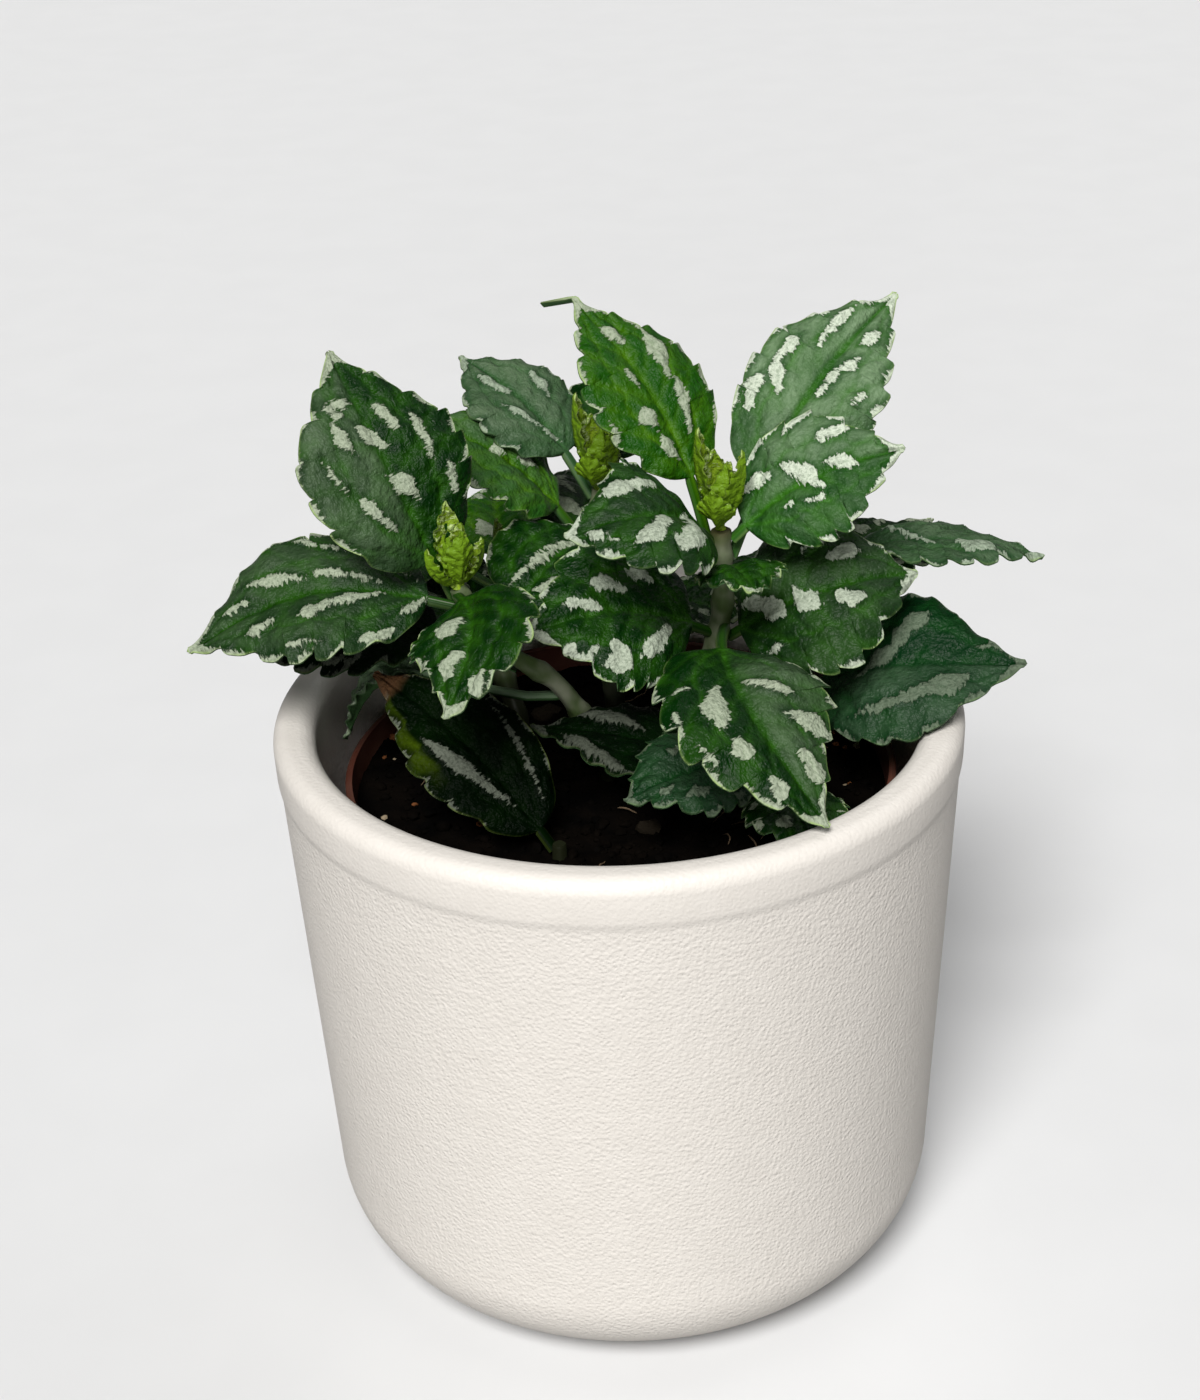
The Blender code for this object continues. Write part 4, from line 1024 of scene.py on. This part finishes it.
@dataclass(frozen=True)
class Shoot:
    """The folded young leaves on top of a stem."""

    name: str
    stem: str
    height: float
    turn: float

    # Each young leaf's share of the height, turn, climb, arch and breadth.
    YOUNG_LEAVES = ((0.62, 0, 54, -0.18, 0.62), (0.62, 180, 54, -0.18, 0.62), (0.80, 270, 74, -0.10, 0.50),
                    (1.0, 90, 78, -0.10, 0.46), (0.74, 40, 80, -0.12, 0.52), (0.66, 220, 80, -0.12, 0.56))

    def draft(self, stem: Stem) -> Draft:
        """Builds the bud and the young leaves round it.

        Args:
            stem: The stem that carries it.

        Returns:
            The draft.
        """
        top = np.array(stem.route[-1])
        radius = stem.thickness(top[2])
        maker = BladeMaker(columns=20, thickness=0.00046, petiole_radius=0.0005, petiole_depth=0.0008,
                           teeth=4, tooth_depth=0.22, tooth_lean=0.0004, widest=0.42, tip_draw=0.45,
                           cup=-0.42, swell=0.10, ripple=0.00022, vein_sink=0.00018, blister=0.00040, wave=0.0004,
                           tooth_steps=(0.0, 0.2, 0.4, 0.6, 0.8, 0.92), base_steps=(0.0, 0.02, 0.05, 0.09, 0.13),
                           tip_steps=(0.0, 0.3, 0.6, 0.85, 1.0))
        foot = top + (0.0, 0.0, radius * 0.7)
        draft = Draft()
        for i, (share, turn, rise, arch, breadth) in enumerate(self.YOUNG_LEAVES):
            length = self.height * share
            leaf = Leaf(f"{self.name}_{i}", stem.name, 0.0, self.turn + turn, rise, length, length * breadth,
                        arch=arch, petiole=length * 0.06, fold=6)
            maker.draft_into(draft, leaf, foot, 50 + i + int(self.height * 1e4))
        return draft


SHOOTS = (
    Shoot("shoot_left", "stem_left", 0.0145, 25),
    Shoot("shoot_middle", "stem_middle", 0.018, 75),
    Shoot("shoot_back_left", "stem_back_left", 0.018, 75),
    Shoot("shoot_right", "stem_right", 0.010, 20),
    Shoot("shoot_back", "stem_back", 0.011, 60),
    Shoot("shoot_front_right", "stem_front_right", 0.006, 100),
)


@dataclass(frozen=True)
class StemFinish:
    """Pale fleshy green below, reddish where the stem is young, and near black on its lowest part."""

    name: str = "stem_fleshy_green"
    pale: Colour = (0.2500, 0.2700, 0.1900)
    green: Colour = (0.0700, 0.1100, 0.0350)
    red: Colour = (0.0850, 0.0420, 0.0170)
    stain: Colour = (0.0120, 0.0140, 0.0060)
    roughness: float = 0.48

    def build(self, effects: Effects) -> bpy.types.Material:
        """Makes the material from the shared node groups."""
        material, sketch, shader = new_material(self.name)
        place = sketch.node("TexCoord").outputs["Object"]
        grain = sketch.group(effects.grain, place=place, scale=1500.0, softness=0.2)
        lower = sketch.mix(grain.outputs["Mottle"], self.pale, self.green)
        tinted = sketch.mix(sketch.value_at("ripe"), lower, self.red)
        colour = sketch.mix(sketch.math("MULTIPLY", sketch.value_at("node"), 0.6), tinted, self.green)
        sketch.feed(shader.inputs["Base Color"], sketch.mix(sketch.value_at("stained"), colour, self.stain))
        rough = sketch.ramp(grain.outputs["Height"], 0.2, 0.8, self.roughness - 0.08, self.roughness + 0.12)
        shader.inputs["Specular IOR Level"].default_value = 0.15
        sketch.feed(shader.inputs["Roughness"], rough)
        bump = sketch.node("Bump", {"Strength": 0.4, "Distance": 0.15 * MM, "Height": grain.outputs["Height"]})
        sketch.feed(shader.inputs["Normal"], bump.outputs[0])
        return material


class Foliage:
    """The stems, the leaves and the shoot tips."""

    def __init__(self, effects: Effects) -> None:
        """Keeps the shared node groups and the stems by name."""
        self.effects = effects
        self.stems = {stem.name: stem for stem in STEMS}
        self.materials: dict[str, bpy.types.Material] = {}

    def material(self, finish: LeafFinish) -> bpy.types.Material:
        """The material of a finish, made once."""
        if finish.name not in self.materials:
            self.materials[finish.name] = finish.build(self.effects)
        return self.materials[finish.name]

    def seat(self, leaf: Leaf, maker: BladeMaker) -> np.ndarray:
        """The end of a leaf's petiole, just clear of its stem.

        Args:
            leaf: The leaf.
            maker: The blades' shape, for the petiole's own size.

        Returns:
            The point.
        """
        stem = self.stems[leaf.stem]
        toward = radians(leaf.toward)
        out = np.array([cos(toward), sin(toward), 0.0])
        base = stem.at(leaf.at)
        share = np.linspace(-1.0, 1.0, 5)
        while True:
            midrib = Midrib(leaf, base)
            _, right, normal = (axis[0] for axis in midrib.axes(np.zeros(1)))
            line = base + right * (share * maker.petiole_radius)[:, None]
            depth = normal * maker.petiole_depth / 2
            if stem.gap(np.concatenate([line + depth, line - depth])) >= SEAT:
                return base
            base = base + out * SEAT / 6

    def build(self) -> None:
        """Makes every piece of the plant above the soil."""
        stem_material = StemFinish().build(self.effects)
        for stem in STEMS:
            stem.draft().piece(stem.name + "_grown", stem_material, Slot.STEM, [stem.name])
        maker = BladeMaker()
        for i, leaf in enumerate(LEAVES):
            draft = Draft()
            maker.draft_into(draft, leaf, self.seat(leaf, maker), i)
            draft.piece(leaf.name + "_grown", self.material(leaf.finish), Slot.LEAF, [leaf.name])
        for shoot in SHOOTS:
            draft = shoot.draft(self.stems[shoot.stem])
            draft.piece(shoot.name + "_grown", self.material(YOUNG), Slot.SHOOT, [shoot.name])


def arc(centre_r: float, centre_z: float, radius: float, start: float, end: float,
        steps: int) -> list[tuple[float, float]]:
    """Points of an arc in the (radius, height) half plane, angles in degrees."""
    angles = np.radians(np.linspace(start, end, steps + 1))
    return [(centre_r + radius * cos(a), centre_z + radius * sin(a)) for a in angles]


def refine(profile: list[tuple[float, float]], longest: float) -> list[tuple[float, float]]:
    """The profile with extra points, so that no stretch is longer than `longest`."""
    fine = [profile[0]]
    for (r0, z0), (r1, z1) in zip(profile, profile[1:]):
        steps = max(1, int(np.hypot(r1 - r0, z1 - z0) / longest))
        fine += [(r0 + (r1 - r0) * i / steps, z0 + (z1 - z0) * i / steps) for i in range(1, steps + 1)]
    return fine


def turned(profile: list[tuple[float, float]], sides: int) -> tuple[np.ndarray, list[np.ndarray]]:
    """A closed turned body from a profile that starts and ends on the axis, foot first.

    Args:
        profile: Radius and height of each point.
        sides: How many points go round.

    Returns:
        Its points, and arrays of its faces.
    """
    inner = np.array(profile[1:-1])
    angles = tau * np.arange(sides) / sides
    rings = np.stack([inner[:, :1] * np.cos(angles), inner[:, :1] * np.sin(angles),
                      np.repeat(inner[:, 1:], sides, axis=1)], axis=-1)
    points = np.concatenate([rings.reshape(-1, 3), [(0, 0, profile[0][1]), (0, 0, profile[-1][1])]])
    around = np.arange(sides)
    after = (around + 1) % sides
    rows = np.arange(len(inner) - 1)[:, None] * sides
    walls = np.stack([rows + around, rows + after, rows + sides + after, rows + sides + around], axis=-1)
    last = (len(inner) - 1) * sides
    foot, head = len(inner) * sides, len(inner) * sides + 1
    base = np.stack([after, around, np.full(sides, foot)], axis=1)
    top = np.stack([last + around, last + after, np.full(sides, head)], axis=1)
    return points, [walls.reshape(-1, 4), base, top]


@dataclass(frozen=True)
class Cachepot:
    """The white outer pot: a rounded bottom corner, a thick lip and a faint seam below it."""

    radius: float = 0.0620
    height: float = 0.1095
    base_radius: float = 0.0574
    corner: float = 0.0187
    rim_width: float = 0.0077
    lip_outer: float = 0.0030
    lip_inner: float = 0.0034
    floor: float = 0.0055
    inner_corner: float = 0.0130
    inner_taper: float = 0.0050
    seam_drop: float = 0.0090
    seam_step: float = 0.0004
    sides: int = 192
    white: Colour = (0.8050, 0.7650, 0.7150)
    shaded: Colour = (0.7850, 0.7450, 0.6950)
    speck: Colour = (0.2500, 0.2200, 0.1900)
    roughness: float = 0.45

    def profile(self) -> list[tuple[float, float]]:
        """The foot, the wall with its corner and seam, the lip and the inside."""
        inner_top = self.radius - self.rim_width
        inner_low = inner_top - self.inner_taper
        seam_z = self.height - self.seam_drop
        profile = [(0.0, 0.0)]
        profile += arc(self.base_radius - self.corner, self.corner, self.corner, -90, 0, 20)
        profile += [
            (self.radius - self.seam_step * 1.6, seam_z - 0.0012),
            (self.radius - self.seam_step * 1.3, seam_z - 0.0002),
            (self.radius - self.seam_step * 0.6, seam_z + 0.0004),
            (self.radius - self.seam_step * 0.3, seam_z + 0.0014),
        ]
        profile += arc(self.radius - self.lip_outer, self.height - self.lip_outer, self.lip_outer, 0, 90, 12)
        profile += arc(inner_top + self.lip_inner, self.height - self.lip_inner, self.lip_inner, 90, 180, 12)
        profile += arc(inner_low - self.inner_corner, self.floor + self.inner_corner, self.inner_corner,
                       0, -90, 12)
        profile += [(0.0, self.floor)]
        return profile

    def material(self, effects: Effects) -> bpy.types.Material:
        """Moulded off-white with a fine leathery grain that fades on the lip."""
        material, sketch, shader = new_material("cachepot_moulded_white")
        place = sketch.node("TexCoord").outputs["Object"]
        grain = sketch.group(effects.grain, place=place, scale=1550.0, softness=0.55)
        specks = sketch.group(effects.specks, place=place, scale=60.0, size=0.022, share=0.06)
        shade = sketch.mix(grain.outputs["Mottle"], self.white, self.shaded)
        sketch.feed(shader.inputs["Base Color"], sketch.mix(specks.outputs["Mask"], shade, self.speck))
        rough = sketch.ramp(grain.outputs["Height"], 0.2, 0.8, self.roughness - 0.06, self.roughness + 0.10)
        sketch.feed(shader.inputs["Roughness"], rough)
        height = sketch.math("MULTIPLY", grain.outputs["Height"], sketch.value_at("grained"))
        bump = sketch.node("Bump", {"Strength": 0.75, "Distance": 0.40 * MM, "Height": height})
        sketch.feed(shader.inputs["Normal"], bump.outputs[0])
        return material

    def build(self, effects: Effects) -> None:
        """Makes the piece."""
        points, faces = turned(refine(self.profile(), 0.0035), self.sides)
        lip = smooth_step(self.height - self.seam_drop - 0.002, self.height - self.seam_drop + 0.001,
                          points[:, 2])
        draft = Draft()
        draft.add(points, faces, grained=1 - 0.55 * lip)
        draft.piece("cachepot_shell", self.material(effects), Slot.CACHEPOT, ["cachepot"])


@dataclass(frozen=True)
class NurseryPot:
    """The thin brown pot inside, whose top steps out into a band."""

    rim_radius: float = 0.0500
    rim: float = 0.0970
    lip_height: float = 0.0080
    lip_step: float = 0.0022
    base_radius: float = 0.0375
    wall: float = 0.0012
    foot: float = 0.0058
    sides: int = 128
    drains: int = 4
    drain_radius: float = 0.0040
    drain_circle: float = 0.0240
    brown: Colour = (0.1000, 0.0260, 0.0140)
    dusty: Colour = (0.1700, 0.0700, 0.0450)
    roughness: float = 0.5

    def inside(self, shrink: float = 0.0) -> list[tuple[float, float]]:
        """The inner wall from the floor to the rim, or a line that far inside it."""
        shoulder = self.rim - self.lip_height
        neck = self.rim_radius - self.lip_step - self.wall
        top = self.rim_radius - self.wall - shrink
        return [(self.base_radius - self.wall - shrink, self.foot + self.wall + shrink),
                (neck - shrink, shoulder), (top - 0.0003, shoulder + 0.0018), (top, self.rim - 0.0003)]

    def profile(self) -> list[tuple[float, float]]:
        """The whole section, foot first."""
        shoulder = self.rim - self.lip_height
        inside = self.inside()
        return [(0.0, self.foot), (self.base_radius - 0.001, self.foot), (self.base_radius, self.foot + 0.001),
                (self.rim_radius - self.lip_step, shoulder - 0.0006),
                (self.rim_radius - 0.0004, shoulder + 0.0003), (self.rim_radius, self.rim - 0.0006),
                (self.rim_radius - 0.0006, self.rim), *reversed(inside), (0.0, inside[0][1])]

    def material(self, effects: Effects) -> bpy.types.Material:
        """Thin moulded plastic with a film of dust."""
        material, sketch, shader = new_material("nursery_plastic_brown")
        place = sketch.node("TexCoord").outputs["Object"]
        grain = sketch.group(effects.grain, place=place, scale=1100.0, softness=0.3)
        dust = sketch.math("MULTIPLY", grain.outputs["Mottle"], 0.6)
        sketch.feed(shader.inputs["Base Color"], sketch.mix(dust, self.brown, self.dusty))
        rough = sketch.ramp(grain.outputs["Mottle"], 0.0, 1.0, self.roughness, self.roughness + 0.2)
        sketch.feed(shader.inputs["Roughness"], rough)
        bump = sketch.node("Bump", {"Strength": 0.2, "Distance": 0.1 * MM, "Height": grain.outputs["Height"]})
        sketch.feed(shader.inputs["Normal"], bump.outputs[0])
        return material

    def build(self, effects: Effects) -> None:
        """Makes the piece, with its drain holes cut."""
        draft = Draft()
        draft.add(*turned(refine(self.profile(), 0.012), self.sides))
        pot = draft.piece("nursery_pot_shell", self.material(effects), Slot.NURSERY_POT, ["nursery_pot"], 40)
        cutters = []
        for i in range(self.drains):
            angle = tau * (i + 0.5) / self.drains
            mesh_maker = bmesh.new()
            bmesh.ops.create_cone(mesh_maker, cap_ends=True, segments=32, radius1=self.drain_radius,
                                  radius2=self.drain_radius, depth=0.006)
            mesh = bpy.data.meshes.new("drain")
            mesh_maker.to_mesh(mesh)
            mesh_maker.free()
            cutter = bpy.data.objects.new(f"drain_{i}", mesh)
            cutter.location = (self.drain_circle * cos(angle), self.drain_circle * sin(angle), self.foot)
            bpy.context.scene.collection.objects.link(cutter)
            cut = pot.modifiers.new(cutter.name, "BOOLEAN")
            cut.operation, cut.object = "DIFFERENCE", cutter
            cutters.append(cutter)
        bpy.context.view_layer.update()
        graph = bpy.context.evaluated_depsgraph_get()
        mesh = bpy.data.meshes.new_from_object(pot.evaluated_get(graph))
        pot.modifiers.clear()
        pot.data = mesh
        for cutter in cutters:
            bpy.data.objects.remove(cutter, do_unlink=True)


@dataclass(frozen=True)
class Soil:
    """The filling: a crumbly top with bark and perlite chips."""

    pot: NurseryPot
    level: float = 0.0920
    relief: float = 0.0016
    rings: int = 56
    sides: int = 160
    chips: int = 11
    chip_nearest: float = 0.0100
    chip_clearance: float = 0.0060
    chip_size: float = 0.0013
    chip_spread: float = 0.0011
    chip_start: float = 5.0
    shaded_half: float = 0.024
    crumbs: int = 1500
    fibres: int = 26
    seed: int = 11
    dark: Colour = (0.0007, 0.0006, 0.0005)
    brown: Colour = (0.0032, 0.0022, 0.0015)
    pale: Colour = (0.3800, 0.3000, 0.2000)
    bark: Colour = (0.2000, 0.0750, 0.0280)

    def height(self, x: float, y: float) -> float:
        """The top's height: low swells with a finer roughness on them."""
        swell = noise.noise(Vector((x * 60, y * 60, 0.3)))
        crumb = noise.noise(Vector((x * 240, y * 240, 4.1)))
        fine = noise.noise(Vector((x * 700, y * 700, 7.7)))
        return self.level + self.relief * (0.5 * swell + 0.5 * crumb + 0.22 * fine)

    def top_radius(self) -> float:
        """How far the soil reaches at its level."""
        inside = self.pot.inside(SEAT)
        return float(np.interp(self.level, [z for _, z in inside], [r for r, _ in inside]))

    def body(self, draft: Draft) -> None:
        """Adds the filling itself."""
        inside = self.pot.inside(SEAT)
        reach = self.top_radius()
        profile = [(0.0, inside[0][1]), *inside[:3]]
        profile += [(reach * (self.rings - i) / self.rings, self.level) for i in range(self.rings)]
        profile.append((0.0, self.level))
        points, faces = turned(profile, self.sides)
        for i in np.flatnonzero(points[:, 2] > self.level - 0.0001):
            points[i, 2] = self.height(points[i, 0], points[i, 1])
        draft.add(points, faces, pale=0.0, bark=0.0)

    def lump(self, draft: Draft, ball: tuple[np.ndarray, np.ndarray], centre: Point, size: Point,
             dice: np.random.Generator, pale: float, bark: float) -> None:
        """Adds one crumb or chip.

        Args:
            draft: What it is added to.
            ball: A round shape's points and faces.
            centre: Where it lies.
            size: Half its length, breadth and height.
            dice: Random draws for its shape and turn.
            pale: How much it is perlite.
            bark: How much it is bark.
        """
        points, faces = ball
        rough = 1 + dice.uniform(-0.24, 0.24, len(points))[:, None]
        tilt = Matrix.Rotation(dice.uniform(-0.5, 0.5), 3, "X")
        turn = np.array(Matrix.Rotation(dice.uniform(0, tau), 3, "Z") @ tilt)
        draft.add((points * rough * size) @ turn.T + centre, [faces], pale=pale, bark=bark)

    def scatter(self, draft: Draft) -> None:
        """Adds the crumbs and the chips."""
        mesh_maker = bmesh.new()
        bmesh.ops.create_icosphere(mesh_maker, subdivisions=2, radius=1.0)
        ball = (np.array([v.co[:] for v in mesh_maker.verts]),
                np.array([[v.index for v in f.verts] for f in mesh_maker.faces]))
        mesh_maker.free()
        dice = np.random.default_rng(self.seed)
        reach = self.top_radius()
        for i in range(self.chips):
            angle = self.chip_start + i * pi * (3 - sqrt(5))
            r = self.chip_nearest + (reach - self.chip_nearest - self.chip_clearance) * sqrt((i + 0.5) / self.chips)
            size = self.chip_size + self.chip_spread * (0.5 + 0.5 * sin(7.0 * i))
            x, y = r * cos(angle), r * sin(angle)
            kind = (0.2, 1.0) if i % 4 == 1 else (1.0, 0.0)
            # Chips in the shaded middle keep the dark soil colour instead of white perlite or bark: painted shade.
            kind = kind if abs(x) > self.shaded_half else (0.04, 0.0)
            self.lump(draft, ball, (x, y, self.height(x, y) + 0.2 * size),
                      (1.4 * size, size, 0.8 * size), dice, *kind)
        for _ in range(self.crumbs):
            angle, r = dice.uniform(0, tau), (reach - 0.0009) * sqrt(dice.uniform(0, 1))
            x, y = r * cos(angle), r * sin(angle)
            size = 0.00028 + 0.00085 * dice.uniform(0, 1) ** 3
            # Pale and bark crumbs only off the shaded middle; there the crumbs stay dark: painted shade.
            near_side = abs(x) > self.shaded_half
            pale = 0.9 if dice.uniform() < 0.05 and near_side else 0.0
            bark = 0.8 if dice.uniform() < 0.06 and near_side else 0.0
            self.lump(draft, ball, (x, y, self.height(x, y) + 0.25 * size),
                      (1.3 * size, size, 0.8 * size), dice, pale, bark)

    def strands(self, draft: Draft) -> None:
        """Adds the thin dry fibres that lie on the top."""
        dice = np.random.default_rng(self.seed + 1)
        reach = self.top_radius()
        sides, steps = 5, 9
        for _ in range(self.fibres):
            angle, r = dice.uniform(0, tau), (reach - 0.009) * sqrt(dice.uniform(0.05, 1))
            turn, length = dice.uniform(0, tau), dice.uniform(0.003, 0.009)
            bend = dice.uniform(-0.9, 0.9)
            rings = []
            for k in range(steps):
                share = k / (steps - 1) - 0.5
                heading = turn + bend * share
                x = r * cos(angle) + share * length * cos(heading)
                y = r * sin(angle) + share * length * sin(heading)
                z = self.height(x, y) + 0.0005 + 0.0006 * cos(pi * share)
                side = np.array([-sin(heading), cos(heading), 0.0])
                spread = tau * np.arange(sides) / sides
                thin = 0.00016 * (1 - 0.7 * abs(2 * share) ** 3)
                rings.append(np.array([x, y, z]) + thin * (np.cos(spread)[:, None] * side
                                                           + np.sin(spread)[:, None] * np.array([0, 0, 1.0])))
            around = np.arange(sides)
            after = (around + 1) % sides
            rows = np.arange(steps - 1)[:, None] * sides
            walls = np.stack([rows + around, rows + after, rows + sides + after, rows + sides + around], axis=-1)
            caps = np.array([around[::-1], around + (steps - 1) * sides])
            draft.add(np.concatenate(rings), [walls.reshape(-1, 4), caps], pale=0.35, bark=0.3)

    def material(self, effects: Effects) -> bpy.types.Material:
        """Near-black potting mix, with its pale and its orange-brown bits."""
        material, sketch, shader = new_material("soil_potting_mix")
        shader.inputs["Specular IOR Level"].default_value = 0.03
        place = sketch.node("TexCoord").outputs["Object"]
        grain = sketch.group(effects.grain, place=place, scale=1300.0, softness=0.4)
        earth = sketch.mix(grain.outputs["Mottle"], self.dark, self.brown)
        barky = sketch.mix(sketch.value_at("bark"), earth, self.bark)
        colour = sketch.mix(sketch.value_at("pale"), barky, self.pale)
        sketch.feed(shader.inputs["Base Color"], colour)
        rough = sketch.ramp(grain.outputs["Height"], 0.2, 0.8, 0.75, 0.98)
        sketch.feed(shader.inputs["Roughness"], rough)
        bump = sketch.node("Bump", {"Strength": 0.9, "Distance": 0.4 * MM, "Height": grain.outputs["Height"]})
        sketch.feed(shader.inputs["Normal"], bump.outputs[0])
        return material

    def build(self, effects: Effects) -> None:
        """Makes the piece."""
        draft = Draft()
        self.body(draft)
        self.scatter(draft)
        self.strands(draft)
        draft.piece("soil_filling", self.material(effects), Slot.SOIL, ["soil"], 50)


@dataclass(frozen=True)
class Lamp:
    """A soft light: its bearing from the front towards the right, and its height, in degrees."""

    name: str
    bearing: float
    height: float
    spread: float
    strength: float
    tint: Colour = (1.0, 1.0, 1.0)


LAMPS = (
    Lamp("key", -13, 50, 26, 1.15, (1.0, 0.99, 0.97)),
    Lamp("front", -4, 8, 20, 0.20, (1.0, 0.99, 0.98)),
    Lamp("back", 140, 48, 50, 0.15),
)


@dataclass(frozen=True)
class Studio:
    """A plain pale floor, soft light and the camera."""

    floor_half: float = 4.0
    floor_colour: Colour = (0.779, 0.785, 0.797)
    floor_bounce: Colour = (0.35, 0.35, 0.35)
    sky: Colour = (1.0, 1.0, 1.0)
    sky_strength: float = 0.03
    backdrop: float = 0.81
    lens: float = 62.01
    sensor: float = 36.0
    camera_place: Point = (0.0, -0.38381, 0.31209)
    camera_right: Point = (0.999307, -0.010566, -0.035700)
    camera_up: Point = (0.036503, 0.466756, 0.883632)
    camera_back: Point = (0.007327, -0.884323, 0.466818)

    def floor(self, effects: Effects) -> None:
        """Makes the floor."""
        half = self.floor_half
        mesh = bpy.data.meshes.new("floor")
        mesh.from_pydata([(-half, -half, 0), (half, -half, 0), (half, half, 0), (-half, half, 0)], [],
                         [(0, 1, 2, 3)])
        material, sketch, shader = new_material("floor_pale")
        grain = sketch.group(effects.grain, place=sketch.node("TexCoord").outputs["Object"], scale=300.0,
                             softness=0.2)
        tone = tuple(channel * 0.985 for channel in self.floor_colour)
        seen = sketch.node("LightPath").outputs["Is Camera Ray"]
        pale = sketch.mix(grain.outputs["Mottle"], self.floor_colour, tone)
        sketch.feed(shader.inputs["Base Color"], sketch.mix(seen, self.floor_bounce, pale))
        shader.inputs["Roughness"].default_value = 0.9
        mesh.materials.append(material)
        floor = bpy.data.objects.new("floor", mesh)
        bpy.context.scene.collection.objects.link(floor)

    def lamp(self, lamp: Lamp) -> None:
        """Adds one wide, distant, soft light."""
        data = bpy.data.lights.new(lamp.name, "SUN")
        data.angle, data.energy, data.color = radians(lamp.spread), lamp.strength * pi, lamp.tint
        light = bpy.data.objects.new(lamp.name, data)
        bearing, height = radians(lamp.bearing), radians(lamp.height)
        source = Vector((sin(bearing) * cos(height), -cos(bearing) * cos(height), sin(height)))
        light.location = source
        light.rotation_euler = source.to_track_quat("Z", "Y").to_euler()
        bpy.context.scene.collection.objects.link(light)

    def camera(self) -> None:
        """Adds the camera where the picture was taken from."""
        data = bpy.data.cameras.new("camera")
        data.lens, data.sensor_width = self.lens, self.sensor
        data.clip_start = 0.01
        camera = bpy.data.objects.new("camera", data)
        columns = Matrix((self.camera_right, self.camera_up, self.camera_back)).transposed()
        camera.matrix_world = Matrix.Translation(self.camera_place) @ columns.to_4x4()
        bpy.context.scene.collection.objects.link(camera)
        bpy.context.scene.camera = camera

    def build(self, effects: Effects) -> None:
        """Makes the stage."""
        self.floor(effects)
        world = bpy.data.worlds.new("studio")
        world.use_nodes = True
        sky = world.node_tree.nodes["Background"]
        sketch = Sketch(world.node_tree)
        seen = sketch.node("LightPath").outputs["Is Camera Ray"]
        strength = sketch.node("Mix", {0: seen, 2: self.sky_strength, 3: self.backdrop}).outputs[0]
        sketch.feed(sky.inputs["Color"], self.sky)
        sketch.feed(sky.inputs["Strength"], strength)
        bpy.context.scene.world = world
        for lamp in LAMPS:
            self.lamp(lamp)
        self.camera()
        bpy.context.scene.view_settings.view_transform = "Standard"


def keep_sizes() -> None:
    """Updates the view layer."""
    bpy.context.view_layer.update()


def main() -> None:
    """Builds every piece in order."""
    logging.basicConfig(level=logging.INFO, format="%(name)s: %(message)s")
    effects = Effects()
    Studio().build(effects)
    Cachepot().build(effects)
    nursery = NurseryPot()
    nursery.build(effects)
    Soil(nursery).build(effects)
    Foliage(effects).build()
    keep_sizes()


if __name__ == "__main__":
    main()
